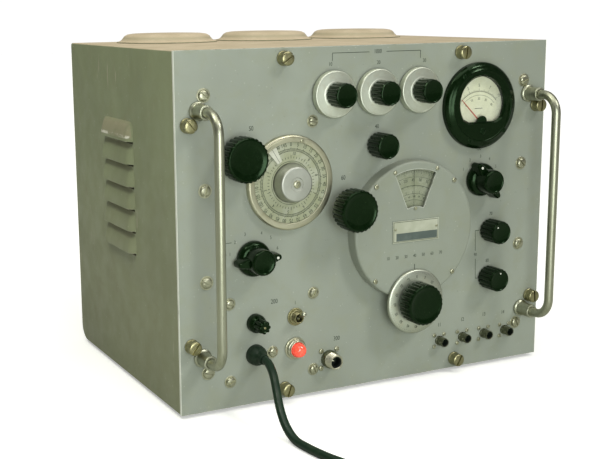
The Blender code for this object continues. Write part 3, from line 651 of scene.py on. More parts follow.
def prism(bm, outline, low, high, axis="Y", mat=0):
    place = {"Y": lambda u, v, h: (u, h, v), "X": lambda u, v, h: (h, u, v), "Z": lambda u, v, h: (u, v, h)}[axis]
    a, b = ([bm.verts.new(place(u, v, h)) for u, v in outline] for h in (low, high))
    n = len(outline)
    faces = [bm.faces.new(a), bm.faces.new(b)] + [bm.faces.new((a[k], a[(k + 1) % n], b[(k + 1) % n], b[k])) for k in range(n)]
    for f in faces:
        f.material_index = mat
    bmesh.ops.recalc_face_normals(bm, faces=faces)
    return bm


def arc(c, r, start, end, steps):
    return [(c[0] + r * math.cos(start + (end - start) * k / steps), c[1] + r * math.sin(start + (end - start) * k / steps)) for k in range(steps + 1)]


def bevelled(bm, width, segments=2, angle=35):
    edges = [e for e in bm.edges if len(e.link_faces) == 2 and e.calc_face_angle(0) > math.radians(angle)]
    bmesh.ops.bevel(bm, geom=edges, offset=width, segments=segments, profile=0.5, affect="EDGES", clamp_overlap=True)
    return bm


def slotted(bm, r, h, y, x=0, z=0, angle=0.0, width=None, depth=None, n=40, dome=0.5):
    """A slotted head standing h proud of y, its slot a real groove cut across it."""
    w = (width or r * 0.26) / 2
    d = depth or h * 0.5
    ca, sa = math.cos(angle), math.sin(angle)
    front = y - h
    for sgn in (-1, 1):
        ring = []
        half = math.acos(w / r)
        for k in range(n // 2 + 1):
            t = -half + 2 * half * k / (n // 2)
            ring.append((sgn * r * math.cos(t), r * math.sin(t)))
        levels = [(1.0, y), (1.0, front + h * dome), (0.90, front + h * dome * 0.42), (0.72, front + h * dome * 0.12), (0.45, front + h * dome * 0.02)]
        rows = []
        for f, hh in levels:
            pts = []
            for u, v in ring:
                uu = sgn * w + (u - sgn * w) * f
                vv = v * f
                pts.append(bm.verts.new((x + uu * ca + vv * sa, hh, z - uu * sa + vv * ca)))
            rows.append(pts)
        top = bm.verts.new((x + sgn * w * ca, front, z - sgn * w * sa))
        faces = []
        for a, b in zip(rows, rows[1:]):
            for k in range(len(a) - 1):
                faces.append(bm.faces.new((a[k], a[k + 1], b[k + 1], b[k])))
        for k in range(len(rows[-1]) - 1):
            faces.append(bm.faces.new((rows[-1][k], rows[-1][k + 1], top)))
        wall = [p[0] for p in rows] + [top] + [p[-1] for p in reversed(rows)]
        faces.append(bm.faces.new(wall))
        bmesh.ops.recalc_face_normals(bm, faces=faces)
    floor_y = front + d
    half = math.sqrt(r * r - w * w) * 0.985
    quad = [(-w, -half), (w, -half), (w, half), (-w, half)]
    v = [[bm.verts.new((x + u * ca + q * sa, yy, z - u * sa + q * ca)) for u, q in quad] for yy in (floor_y, y)]
    faces = [bm.faces.new(v[0]), bm.faces.new(v[1])] + [bm.faces.new((v[0][k], v[0][(k + 1) % 4], v[1][(k + 1) % 4], v[1][k])) for k in range(4)]
    bmesh.ops.recalc_face_normals(bm, faces=faces)
    return bm


# ---------------------------------------------------------------- printed marks
def line(bm, x0, z0, x1, z1, w, y, t=0.06):
    d = Vector((x1 - x0, z1 - z0))
    n = Vector((-d.y, d.x)).normalized() * w / 2
    return prism(bm, [(x0 - n.x, z0 - n.y), (x1 - n.x, z1 - n.y), (x1 + n.x, z1 + n.y), (x0 + n.x, z0 + n.y)], y - t, y)


def curve_line(bm, c, r, start, end, w, y, steps=24, t=0.06):
    return prism(bm, arc(c, r - w / 2, start, end, steps) + arc(c, r + w / 2, end, start, steps), y - t, y)


def dot(bm, x, z, r, y, t=0.06, n=16):
    return prism(bm, [(x + r * math.sin(TAU * k / n), z + r * math.cos(TAU * k / n)) for k in range(n)], y - t, y)


GLYPHS = {}


def glyph(text):
    """A number's outline as triangles, one unit high, centred, from the built-in typeface."""
    if text not in GLYPHS:
        c = bpy.data.curves.new("glyph", "FONT")
        c.body = text
        c.align_x, c.align_y = "CENTER", "CENTER"
        c.resolution_u = 3
        c.extrude = 0.02
        o = bpy.data.objects.new("glyph", c)
        scene.collection.objects.link(o)
        bpy.context.view_layer.update()
        mesh = bpy.data.meshes.new_from_object(o.evaluated_get(bpy.context.evaluated_depsgraph_get()))
        GLYPHS[text] = ([v.co.copy() for v in mesh.vertices], [tuple(p.vertices) for p in mesh.polygons])
        bpy.data.objects.remove(o, do_unlink=True)
        bpy.data.curves.remove(c)
        bpy.data.meshes.remove(mesh)
    return GLYPHS[text]


def number(bm, text, x, z, size, y, angle=0.0, t=0.06):
    """A plain number on the plane y, size high, turned clockwise by angle as seen from the front."""
    verts, faces = glyph(str(text))
    ca, sa = math.cos(angle), math.sin(angle)
    made = []
    for v in verts:
        u, w = v.x * size * 1.05, v.y * size * 1.35
        made.append(bm.verts.new((x + u * ca + w * sa, y - t / 2 - v.z / 0.02 * t / 2, z - u * sa + w * ca)))
    new = [bm.faces.new([made[k] for k in f]) for f in faces]
    bmesh.ops.recalc_face_normals(bm, faces=new)
    return bm


def ring_scale(bm, r_in, r_out, y, start, end, count, w=0.35, major=0, longer=1.5):
    """Radial ticks from start to end, clockwise from the top, every major-th one longer."""
    for k in range(count + 1):
        a = start + (end - start) * k / count
        inner = r_in - (longer if major and k % major == 0 else 0)
        line(bm, inner * math.sin(a), inner * math.cos(a), r_out * math.sin(a), r_out * math.cos(a), w, y)
    return bm


def ring_numbers(bm, labels, r, size, y, start, end, upright=False):
    for k, text in enumerate(labels):
        a = start + (end - start) * k / max(1, len(labels) - 1)
        number(bm, text, r * math.sin(a), r * math.cos(a), size, y, 0.0 if upright else a)
    return bm


# ---------------------------------------------------------------- the power cord
FLOOR, CORD_D = -4.0, 8.4
R = CORD_D / 2
COIL, COIL_R = (-168.0, -266.0), 44.0


def smooth(knots, step):
    """Points along a centripetal Catmull-Rom curve."""
    p = [Vector(k) for k in knots]
    p = [p[0] * 2 - p[1]] + p + [p[-1] * 2 - p[-2]]
    out = []
    for a, b, c, d in zip(p, p[1:], p[2:], p[3:]):
        t1 = (b - a).length ** 0.5
        t2 = t1 + (c - b).length ** 0.5
        t3 = t2 + (d - c).length ** 0.5
        n = max(2, round((c - b).length / step))
        for k in range(n):
            t = t1 + (t2 - t1) * k / n
            ab, bc, cd = a.lerp(b, t / t1), b.lerp(c, (t - t1) / (t2 - t1)), c.lerp(d, (t - t2) / (t3 - t2))
            out.append(ab.lerp(bc, t / t2).lerp(bc.lerp(cd, (t - t1) / (t3 - t1)), (t - t1) / (t2 - t1)))
    return out + [Vector(knots[-1])]


def ease(t, a, b):
    t = min(1.0, max(0.0, (t - a) / (b - a)))
    return t * t * (3 - 2 * t)


LEAD = [(-139.0, -21.8, 51.5), (-139.3, -29, 50.9), (-142.2, -45, 44.2), (-146.5, -60, 33.0), (-150.6, -75, 20.0), (-152.8, -91, 8.5),
        (-152.6, -108, FLOOR + R + 1.2), (-150.5, -127, FLOOR + R + 0.1), (-145, -155, FLOOR + R), (-134, -188, FLOOR + R), (-121.5, -225, FLOOR + R),
        (COIL[0] + COIL_R + CORD_D, COIL[1], FLOOR + R)]
cord_path = smooth(LEAD, 4.0)[:-1]
TURNS = 5.25
for k in range(int(TURNS * 60) + 1):
    t = k / 60
    r = COIL_R + CORD_D * (1 - ease(t, 0.75, 1.0) - ease(t, 1.75, 2.0) + ease(t, 3.25, 3.5) + ease(t, 4.25, 4.5))
    z = FLOOR + R + CORD_D * ease(t, 2.5, 2.75)
    cord_path.append(Vector((COIL[0] + r * math.cos(TAU * t), COIL[1] - r * math.sin(TAU * t), z)))
PLUG = Vector((COIL[0] - 34.0, COIL[1] - COIL_R - CORD_D, FLOOR + CORD_D * 1.5))
end = cord_path[-1]
cord_path += [Vector((end.x - s, PLUG.y, end.z)) for s in (8.0, 16.0, 24.0, 34.0)]
curve = bpy.data.curves.new("cord_curve", "CURVE")
curve.dimensions = "3D"
curve.bevel_depth = R * MM
curve.bevel_resolution = 4
curve.use_fill_caps = True
spline = curve.splines.new("POLY")
spline.points.add(len(cord_path) - 1)
for point, v in zip(spline.points, cord_path):
    point.co = (*row(*v), 1)
curve.materials.append(M["cord"])
cord = bpy.data.objects.new("mains_cord", curve)
scene.collection.objects.link(cord)
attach(cord, "chassis")
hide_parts("power_cord", "cord_coil")

bm = bmesh.new()
ribs = [(0, 0.2), (4.9, 0.0), (5.3, -0.6)]
for k in range(5):
    y = -1.2 - 2.2 * k
    r = 5.3 + 0.22 * k
    ribs += [(r, y), (r, y - 1.1), (r - 0.8, y - 1.4), (r - 0.8, y - 2.0)]
ribs += [(6.4, -12.4), (8.4, -13.4), (11.0, -15.6), (12.2, -19), (12.6, -22)]
for k in range(5):
    y = -25.5 - 3.4 * k
    ribs += [(12.6, y), (11.9, y - 0.7), (11.9, y - 1.5), (12.6, y - 2.2)]
ribs += [(12.6, -45.5), (12.2, -46.8), (11.2, -47.8), (0, -48)]
lathe(bm, ribs, 48, "X")
for s in (-1, 1):
    b = bmesh.new()
    prism(b, [(-47, -3.2), (-63.5, -3.2), (-65.5, -1.8), (-65.5, 1.8), (-63.5, 3.2), (-47, 3.2)], s * 6.35 - 0.8, s * 6.35 + 0.8, "Y", 1)
    hole = [(-61 + 1.6 * math.sin(TAU * k / 14), 1.6 * math.cos(TAU * k / 14)) for k in range(14)]
    tmp = bpy.data.meshes.new("t")
    b.to_mesh(tmp)
    b.free()
    bm.from_mesh(tmp)
    bpy.data.meshes.remove(tmp)
plug = make("mains_plug", bm, ["rubber", "brass"], tuple(PLUG), replaces=["cord_plug"])

# ---------------------------------------------------------------- cabinet
CASE_D = (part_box("cabinet_back")[1][1]) / MM - PY
BACK = CASE_D - 1.8


def repaint(node, key, bevel=0.0, segments=2, angle=30):
    o = bpy.data.objects[node]
    o.data.materials.clear()
    o.data.materials.append(M[key])
    if bevel:
        md = o.modifiers.new("edge", "BEVEL")
        md.width, md.segments, md.limit_method, md.angle_limit = bevel * MM, segments, "ANGLE", math.radians(angle)
        md.harden_normals = False
    return o


LOUVRE_LOW, LOUVRE_PITCH, LOUVRE_N, LOUVRE_H, LOUVRE_OUT = 141.9, 23.5, 6, 20.5, 6.2


def scoop(bm, side, z, inset):
    """A pressed scoop, rounded along its length and at its ends, its mouth at the bottom."""
    out, tall = LOUVRE_OUT - inset, LOUVRE_H - inset * 1.3
    back = -0.9 if inset == 0 else -5.0
    drop = 0.0 if inset == 0 else -2.5
    n, m = 12, 30
    y0, y1 = 112 + inset, 203 - inset
    rings = []
    for j in range(m + 1):
        t = j / m
        s = t if t in (0.0, 1.0) else t
        y = y0 + (y1 - y0) * s
        near = min(y - y0, y1 - y) / 11.0
        lift = math.sin(min(1.0, max(0.0, near)) * math.pi / 2) ** 0.7
        section = [(back, drop)]
        for k in range(n + 1):
            u = k / n
            a = out * lift * (1 - u ** 2.1)
            b = tall * u * (0.80 + 0.20 * lift) if k else drop
            section.append((max(a, 0.03 if inset == 0 else -0.05), b))
        section.append((back, section[-1][1]))
        rings.append([bm.verts.new((side * (HALF_W + a), y, z + b)) for a, b in section])
    c = len(rings[0])
    faces = [bm.faces.new(rings[0]), bm.faces.new(rings[-1])]
    for a, b in zip(rings, rings[1:]):
        faces += [bm.faces.new((a[k], a[(k + 1) % c], b[(k + 1) % c], b[k])) for k in range(c)]
    bmesh.ops.recalc_face_normals(bm, faces=faces)


def outline(inset, r):
    low = [(BACK - 18 + (18 - inset) * math.sin(a), 18 - (18 - inset) * math.cos(a)) for a in (math.pi / 2 * k / 10 for k in range(11))]
    top = [(BACK - inset - r + r * math.cos(a), PANEL_H - inset - r + r * math.sin(a)) for a in (math.pi / 2 * k / 5 for k in range(6))]
    return [(PANEL_T + 0.3 + inset, inset)] + low + top + [(PANEL_T + 0.3 + inset, PANEL_H - inset)]


bm = prism(bmesh.new(), outline(0, 3.5), -HALF_W, HALF_W, "X")
long_edges = [e for e in bm.edges if abs(e.verts[0].co.x) > HALF_W - 0.1 and abs(e.verts[0].co.x - e.verts[1].co.x) < 0.1
              and max(e.verts[0].co.y, e.verts[1].co.y) > 6]
bmesh.ops.bevel(bm, geom=long_edges, offset=1.6, segments=3, profile=0.5, affect="EDGES", clamp_overlap=True)
shell = make("cabinet_case", bm, "case", (0, 0, 0), "cabinet", ["cabinet_shell"])
CAPTIVE = (("top_left", -105.5, 345.3, 55), ("top_right", 105.5, 345.3, 8), ("left_upper", -208.5, 285.6, -40), ("left_lower", -208.5, 70, 35),
           ("right_upper", 208.5, 285.6, 4), ("right_lower", 208.5, 70, -6), ("bottom_left", -106, 10.4, 20), ("bottom_right", 106, 10.4, 30))
inner = prism(bmesh.new(), outline(2.0, 2.0), -HALF_W + 2, HALF_W - 2, "X")
mouth = box(bmesh.new(), (-193.65, 193.65), (-6, 20), (24, PANEL_H - 24))
mouth_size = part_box("chassis_frame")
holes = box(bmesh.new(), (-184, 184), (BACK - 8, BACK + 6), (44, 316))
for _, x, z, _ in CAPTIVE:
    lathe(holes, [(0, 0), (3.6, 0), (3.6, 9), (0, 9)], 20, "Y", (x, 0, z))
DOMES = (-124.0, 2.0, 128.0)
for x in DOMES:
    lathe(holes, [(0, PANEL_H - 9), (44, PANEL_H - 9), (44, PANEL_H + 9), (0, PANEL_H + 9)], 40, "Z", (x, 250, 0))
steps = [(inner, "DIFFERENCE"), (mouth, "DIFFERENCE"), (holes, "DIFFERENCE")]
for inset, op in ((0.0, "UNION"), (1.3, "DIFFERENCE")):
    t = bmesh.new()
    for side in (-1, 1):
        for k in range(LOUVRE_N):
            scoop(t, side, LOUVRE_LOW + LOUVRE_PITCH * k, inset)
    steps.append((t, op))
booleans(shell, steps, 28)

repaint("cabinet_back", "case", 0.5)
bm = bmesh.new()
for x in (-190, 190):
    for z in (40, 120, 236, 318):
        n0 = len(bm.verts)
        slotted(bm, 4.2, 2.1, 0.0, 0, 0, 0.3 + 0.013 * z + 0.004 * x, dome=0.8, width=1.1, depth=1.1, n=28)
        bm.verts.ensure_lookup_table()
        new = bm.verts[n0:]
        bmesh.ops.rotate(bm, cent=(0, 0, 0), matrix=Matrix.Rotation(math.pi, 3, "Z"), verts=new)
        bmesh.ops.translate(bm, vec=(x, 0, z), verts=new)
make("back_plate_screws", bm, "screw", (0, CASE_D, 0), "cabinet")
for name, x in zip(("top_dome_left", "top_dome_middle", "top_dome_right"), DOMES):
    bm = bmesh.new()
    flare = [(0, 10.0), (30, 9.98), (40, 9.7), (45.5, 8.9), (48.8, 7.2), (50.6, 5.0), (52.2, 3.0), (54.2, 1.6), (56.3, 0.85), (58, 0.7)]
    lathe(bm, flare + [(58, 0.0), (53.6, 0.0), (50.4, 2.2), (48.4, 5.4), (45.6, 7.3), (38, 8.2), (0, 8.4)], 72, "Z")
    make(name + "_pressing", bm, "case", (x, 250, PANEL_H + 0.3), "cabinet", [name])
for name, x, y in (("foot_front_left", -185, 38), ("foot_front_right", 185, 38), ("foot_back_left", -185, 268), ("foot_back_right", 185, 268)):
    bm = bmesh.new()
    lathe(bm, rounded([(0, 0.6), (3.2, 0.6), (3.4, 0), (10.5, 0), (12.5, 1.2), (12.5, 3.7), (0, 3.7)], {3: 0.8, 4: 0.8}), 40, "Z")
    make(name + "_pad", bm, "rubber", (x, y, -4), "cabinet", [name])

# ---------------------------------------------------------------- panel, chassis and what stands on it
repaint("front_panel", "paint", 0.35, angle=50)
repaint("chassis_frame", "steel", 0.25)
repaint("oscillator_cavity", "cavity", 0.8)
repaint("rectifier_tube", "tube", 1.2, 3)
repaint("power_transformer", "core", 1.0)
bm = bmesh.new()
for k in range(20):
    y = -19.4 + 2.0 * k
    box(bm, (-42.5, 42.5), (y, y + 0.8), (0.2, 84.4))
for x in (-37, 37):
    for z in (6, 78):
        lathe(bm, [(0, -23), (2.6, -23), (3.4, -22.2), (3.4, -20.4), (0, -20.4)], 6, "Y", (x, 0, z))
make("transformer_laminations", bm, "core", (-112, 215, 113.9))
bm = bmesh.new()
for y in (60, 130, 176):
    lathe(bm, rounded([(43.0, y - 2.5), (44.2, y - 2.5), (44.2, y + 2.5), (43.0, y + 2.5)], {1: 0.5, 2: 0.5}), 64, "Y")
make("cavity_bands", bm, "nickel", (41.5, 0, 163.5))
bm = bmesh.new()
lathe(bm, rounded([(0, 0), (15.0, 0), (15.0, 12), (13.8, 15.5), (0, 15.5)], {2: 1, 3: 1}), 40, "Z")
make("tube_base", bm, "bakelite", (-30, 235, 113.95))

# ---------------------------------------------------------------- handles
for name, s in (("handle_left", -1), ("handle_right", 1)):
    low, high, b = 56.5, 298.5, 20.0
    side = [(-2.0, low)] + [(-47 + b - b * math.sin(a), low + b - b * math.cos(a)) for a in (math.pi / 2 * k / 14 for k in range(15))]
    pts = [(y, z) for y, z in side] + [(y, low + high - z) for y, z in reversed(side)]
    bm = bmesh.new()
    rings = []
    n = 28
    for j, (y, z) in enumerate(pts):
        a = Vector(pts[max(0, j - 1)])
        c = Vector(pts[min(len(pts) - 1, j + 1)])
        d = (c - a).normalized()
        nrm = Vector((-d.y, d.x))
        rings.append([bm.verts.new((4.75 * math.cos(TAU * k / n), y + nrm.x * 4.75 * math.sin(TAU * k / n), z + nrm.y * 4.75 * math.sin(TAU * k / n))) for k in range(n)])
    for a, c in zip(rings, rings[1:]):
        for k in range(n):
            bm.faces.new((a[k], a[(k + 1) % n], c[(k + 1) % n], c[k]))
    bm.faces.new(rings[0])
    bm.faces.new(rings[-1])
    bmesh.ops.recalc_face_normals(bm, faces=bm.faces)
    for z in (low, high):
        sleeve = rounded([(4.9, -20.4), (5.2, -21), (6.9, -21), (7.3, -19.8), (7.3, -5.0), (7.6, -3.6), (9.3, -2.6), (9.3, -0.3), (3.0, -0.3), (3.0, 12), (2.6, 12), (2.6, 9.5)],
                         {2: 0.5, 3: 0.5, 5: 0.8, 6: 0.5})
        lathe(bm, sleeve, 48, "Y", (0, 0, z))
    make(name + "_bar", bm, "rod", (s * 197.0, 0, 0), replaces=[name])

# ---------------------------------------------------------------- screws
for name, x, z, angle in CAPTIVE:
    bm = bmesh.new()
    lathe(bm, [(6.8, -8.4), (6.8, -0.3), (2.8, -0.3), (2.8, 9), (0, 9)], 48)
    slotted(bm, 6.8, 3.1, -8.4, angle=math.radians(angle), width=1.8, depth=2.6, dome=0.34)
    lathe(bm, rounded([(6.8, -2.4), (7.3, -2.0), (7.3, -0.35), (6.8, -0.35)], {1: 0.4, 2: 0.3}), 48)
    make("screw_" + name, bm, "brass", (x, 0, z), "captive_screw_" + name, ["captive_screw_" + name])
bm = bmesh.new()
turn = 0.4
for x, z, r in [(s * 191, z, 5.75) for s in (-1, 1) for z in (313, 222, 131.5, 40)] + [(-73, 282.5, 5), (-72, 107, 5), (-72, 25.5, 5), (-119.4, 51, 5), (-166.8, 107, 5), (-167, 27, 5)]:
    turn = (turn * 3.7 + 0.9) % math.pi
    lathe(bm, rounded([(0, -0.5), (r + 1.2, -0.5), (r + 1.4, -0.3), (r + 1.4, -0.02), (0, -0.02)], {1: 0.2}), 36, "Y", (x, 0, z))
    slotted(bm, r, 2.7, -0.4, x, z, turn, dome=0.95, width=1.5, depth=1.5)
for x in (86.3, 117, 146.5, 175.3):
    for s in (-1, 1):
        for q in (-1, 1):
            turn = (turn * 3.7 + 0.9) % math.pi
            slotted(bm, 2.3, 1.3, -0.02, x + s * 6.35, 33.5 + q * 6.35, turn, dome=0.8, width=0.7, depth=0.8, n=24)
for s in (-1, 1):
    for q in (-1, 1):
        turn = (turn * 3.7 + 0.9) % math.pi
        slotted(bm, 2.9, 1.5, -0.02, -53.3 + s * 9.2, 34 + q * 9.2, turn, dome=0.8, width=0.8, depth=0.9, n=24)
make("panel_screws", bm, "screw", (0, 0, 0))

# ---------------------------------------------------------------- knobs


def flutes(count, depth, r_knob, rings):
    def wave(a, i, r):
        if i not in rings:
            return r
        return r - depth * rings[i] * (1 - abs(math.cos(count * a / 2)) ** 0.8)
    return wave


def grip(bm, r, face, back, count, depth, mat=0, face_mat=0, taper=0.0):
    """A moulded knob: ribbed side, and a polished face inside a thin raised rim."""
    p = [(0, face + 1.3), (r * 0.60, face + 1.05), (r * 0.80, face + 0.55), (r * 0.835, face + 0.12), (r * 0.87, face), (r * 0.915, face + 0.20),
         (r * 0.945, face + 0.9), (r * 0.985, face + 1.5), (r - taper, face + 2.6), (r - taper * 0.5, (face + back) / 2), (r, back - 1.0), (r - 0.25, back), (0, back)]
    rings = {7: 0.7, 8: 1.0, 9: 1.0, 10: 1.0, 11: 0.8}
    lathe(bm, p, count * 10, "Y", wave=flutes(count, depth, r, rings), mats=[face_mat] * 5 + [mat] * 8)
    return bm


def ring_text(bm, text, a, rc, size, height):
    """A number standing on a turned face at angle a, its top away from the middle. height(r) gives the face."""
    verts, faces = glyph(str(text))
    er, et = (math.sin(a), math.cos(a)), (math.cos(a), -math.sin(a))
    made = []
    for v in verts:
        u, w = v.x * size * 1.05, v.y * size * 1.35
        r = rc + w
        made.append(bm.verts.new((er[0] * r + et[0] * u, height(r) - 0.03 - v.z / 0.02 * 0.05, er[1] * r + et[1] * u)))
    new = [bm.faces.new([made[k] for k in f]) for f in faces]
    bmesh.ops.recalc_face_normals(bm, faces=new)


def ring_tick(bm, a, r0, r1, w, height):
    er, et = (math.sin(a), math.cos(a)), (math.cos(a), -math.sin(a))
    v = []
    for lift in (0.04, -0.10):
        for r, s in ((r0, -1), (r0, 1), (r1, 1), (r1, -1)):
            v.append(bm.verts.new((er[0] * r + et[0] * s * w / 2, height(r) + lift, er[1] * r + et[1] * s * w / 2)))
    faces = [bm.faces.new(v[:4]), bm.faces.new(v[4:])] + [bm.faces.new((v[k], v[(k + 1) % 4], v[4 + (k + 1) % 4], v[4 + k])) for k in range(4)]
    bmesh.ops.recalc_face_normals(bm, faces=faces)


for k, (name, x) in enumerate((("pulse_width_knob", -50.6), ("pulse_delay_knob", 0.4), ("pulse_rate_knob", 51.2))):
    bm = grip(bmesh.new(), 12.5, -30.0, -9.6, 17, 1.25)
    make(name + "_grip", bm, "bakelite", (x, 0, 308.3), name, [name])
    bm = bmesh.new()
    skirt = rounded([(11.6, -10.2), (13.4, -10.2), (14.2, -9.9), (21.6, -9.1), (21.8, -9.25), (22.8, -9.1), (23.4, -8.6), (23.6, -7.8), (23.6, -2.6), (8.0, -2.6), (8.0, -1.6), (3.2, -1.6), (3.2, 12), (0, 12)],
                    {2: 0.5, 4: 0.3, 5: 0.4, 6: 0.4})
    lathe(bm, skirt, 96)
    make(name + "_skirt", bm, "skirt", (x, 0, 308.3), name)
    bm = bmesh.new()
    slope = lambda r: -9.8 + (r - 14.2) * 0.9 / 7.0
    turn0 = (math.pi, math.radians(165), math.radians(195))[k]
    for j in range(7):
        a = math.radians(-36 + 12 * j) + turn0
        ring_tick(bm, a, 18.6 if j % 2 else 17.9, 20.2, 0.42, slope)
    ring_tick(bm, turn0 + math.pi, 17.2, 20.6, 0.7, slope)
    make(name + "_marks", bm, "ink", (x, 0, 308.3), name)

bm = grip(bmesh.new(), 21.9, -38.5, -20.4, 27, 1.5)
make("frequency_knob_grip", bm, "bakelite", (41.3, 0, 87.7), "frequency_knob", ["frequency_knob"])
bm = bmesh.new()
lathe(bm, rounded([(18, -20.6), (22.4, -20.6), (32.6, -20.2), (34.0, -19.4), (34.5, -18.6), (34.5, -17.2), (8.4, -17.2), (8.4, -1.6), (3.2, -1.6), (3.2, 14), (0, 14)], {3: 0.6}), 120)
make("frequency_knob_skirt", bm, "freq_skirt", (41.3, 0, 87.7), "frequency_knob")
bm = bmesh.new()
flat = lambda r: -20.6 + max(0.0, (r - 22.4)) * 0.04
for j in range(80):
    a = TAU * j / 80
    ring_tick(bm, a, 30.3 if j % 5 == 0 else 31.4, 33.0 - 0.3, 0.3, lambda r: -20.25 + max(0.0, r - 32.0) * 0.4)
    if j % 5 == 0:
        ring_text(bm, j // 5 * 5, a, 26.9, 3.5, lambda r: -20.42)
make("frequency_knob_marks", bm, "ink", (41.3, 0, 87.7), "frequency_knob")

for name, body, place, r, back, face, ribs_n, depth in (
        ("zero_set", "zero_set_knob", (3.0, 254.4), 13.2, -2.0, -23.5, 17, 1.25), ("power_set", "power_set_knob", (-156.5, 251.7), 22.2, -7.4, -26.4, 27, 1.5),
        ("output_level", "output_level_knob", (-38.5, 193.6), 21.6, -17.2, -36.8, 27, 1.5), ("fm_phase", "fm_phase_knob", (149, 151.2), 12.8, -2.0, -23.8, 17, 1.25),
        ("fm_amplitude", "fm_amplitude_knob", (148.2, 98.4), 12.8, -2.0, -23.8, 17, 1.25)):
    bm = grip(bmesh.new(), r, face, back, ribs_n, depth)
    boss = 6.5 if back < -4 else 3.0
    lathe(bm, [(boss, back - 0.2), (boss, -1.0 if back < -4 else -0.3), (3.0, -0.3), (3.0, 14), (0, 14)], 32)
    make(name + "_grip", bm, "bakelite", (place[0], 0, place[1]), body, [body])
    bm = bmesh.new()
    a = math.radians({"zero_set": 20, "power_set": -35, "output_level": 15, "fm_phase": -38, "fm_amplitude": 12}[name])
    if name.startswith("fm"):
        dot(bm, r * 0.60 * math.sin(a), r * 0.60 * math.cos(a), 0.9, face + 1.05, 0.12)
        make(name + "_dot", bm, "white", (place[0], 0, place[1]), body)
    else:
        bm.free()

for name, place, angle in (("modulation_selector", (-141.0, 150.9), 84.0), ("sync_selector", (134.5, 208.3), -36.0)):
    bm = bmesh.new()
    p = [(0, -26.4), (8.6, -26.6), (10.2, -27.2), (10.7, -27.6), (11.5, -27.55), (12.4, -26.7), (12.9, -25.0), (13.0, -16), (13.0, -10.4), (13.8, -10.1), (15.6, -9.3), (17.2, -7.5), (18, -5), (18, -2), (3, -2), (3, 14), (0, 14)]
    lathe(bm, rounded(p, {2: 0.5, 5: 0.6, 6: 0.8, 8: 0.5, 10: 1.0, 11: 1.2, 12: 0.8}), 96)
    half = [(9.5, 6.1), (12, 5.7), (15, 4.9), (18, 4.1), (20.5, 3.4), (22.4, 2.8), (23.2, 1.9), (23.5, 0.8)]
    for sgn in (-1, 1):
        ring = [(sgn * u, v) for u, v in half] + [(sgn * u, -v) for u, v in reversed(half)]
        rows = []
        for y, grow, cut in ((-6.2, 1.10, 0.0), (-9.0, 1.06, 0.0), (-17.0, 0.96, 0.0), (-19.4, 0.88, 0.15), (-20.5, 0.70, 0.7)):
            rows.append([bm.verts.new((v * grow, y + (0.10 * (abs(u) - 9.5) if y < -16 else 0), u - sgn * cut * (1 if abs(u) > 15 else 0))) for u, v in ring])
        n = len(ring)
        faces = [bm.faces.new(rows[0]), bm.faces.new(rows[-1])]
        for a, b in zip(rows, rows[1:]):
            faces += [bm.faces.new((a[k], a[(k + 1) % n], b[(k + 1) % n], b[k])) for k in range(n)]
        bmesh.ops.recalc_face_normals(bm, faces=faces)
    bmesh.ops.rotate(bm, cent=(0, 0, 0), matrix=Matrix.Rotation(math.radians(angle), 3, "Y"), verts=bm.verts)
    make(name + "_knob", bm, "bakelite", (place[0], 0, place[1]), name, [name], sharp=38)
    bm = lathe(bmesh.new(), rounded([(0, -20.3), (1.0, -20.25), (1.35, -19.9), (1.35, -18.2), (0, -18.2)], {1: 0.3}), 24, "Y", (0, 0, 18.6))
    bmesh.ops.rotate(bm, cent=(0, 0, 0), matrix=Matrix.Rotation(math.radians(angle), 3, "Y"), verts=bm.verts)
    make(name + "_dot", bm, "white", (place[0], 0, place[1]), name)

# ---------------------------------------------------------------- attenuator
bm = bmesh.new()
lathe(bm, rounded([(42.1, -0.3), (42.1, -5.35), (40.4, -5.35), (40.9, -6.1), (45.9, -6.2), (47.3, -5.2), (47.3, -0.3)], {3: 0.3, 4: 0.5, 5: 0.5}) , 120, loop=True)
make("attenuator_ring", bm, "ring", (-100, 0, 223.5), replaces=["attenuator_bezel"])
bm = bmesh.new()
a0, a1 = math.radians(70), math.radians(168)
strip = arc((0, 0), 40.6, a0, a1, 32) + arc((0, 0), 45.0, a1, a0, 32)
prism(bm, strip, -7.4, -6.4)
bevelled(bm, 0.3, 1, 60)
make("attenuator_cursor", bm, "ring", (-100, 0, 223.5))
bm = bmesh.new()
tilt = math.radians(122)
u, v = (math.cos(tilt), math.sin(tilt)), (-math.sin(tilt), math.cos(tilt))
tongue = [(r * u[0] + w * v[0], r * u[1] + w * v[1]) for r, w in ((24.5, -2.6), (42.0, -5.2), (42.0, 5.2), (24.5, 2.6))]
prism(bm, tongue, -6.38, -5.7)
make("attenuator_cursor_window", bm, "cursor", (-100, 0, 223.5))
bm = bmesh.new()
for ang in (75, 163):
    slotted(bm, 1.9, 1.0, -7.35, 43.0 * math.cos(math.radians(ang)), 43.0 * math.sin(math.radians(ang)), 0.5, dome=0.8, width=0.6, depth=0.6, n=24)
make("attenuator_cursor_screws", bm, "screw", (-100, 0, 223.5))
bm = bmesh.new()
ang = math.radians(122)
line(bm, 25.2 * math.cos(ang), 25.2 * math.sin(ang), 40.2 * math.cos(ang), 40.2 * math.sin(ang), 0.35, -6.4)
make("attenuator_hairline", bm, "ink", (-100, 0, 223.5))
bm = bmesh.new()
lathe(bm, rounded([(20.5, -5.0), (41.2, -5.0), (41.6, -4.7), (41.6, -3.6), (3, -3.6), (3, 14), (0, 14)], {1: 0.3}), 120)
make("attenuator_disc", bm, "atten", (-100, 0, 223.5), "attenuator_dial", ["attenuator_dial"])
bm = bmesh.new()
lathe(bm, rounded([(0, -17.4), (6.4, -17.4), (7.0, -18.0), (16.1, -18), (17.3, -17.2), (19.5, -5.4), (19.6, -4.4), (0, -4.4)], {3: 0.9, 4: 0.9, 5: 0.4}), 96)
make("attenuator_hub", bm, "hub", (-100, 0, 223.5), "attenuator_dial")
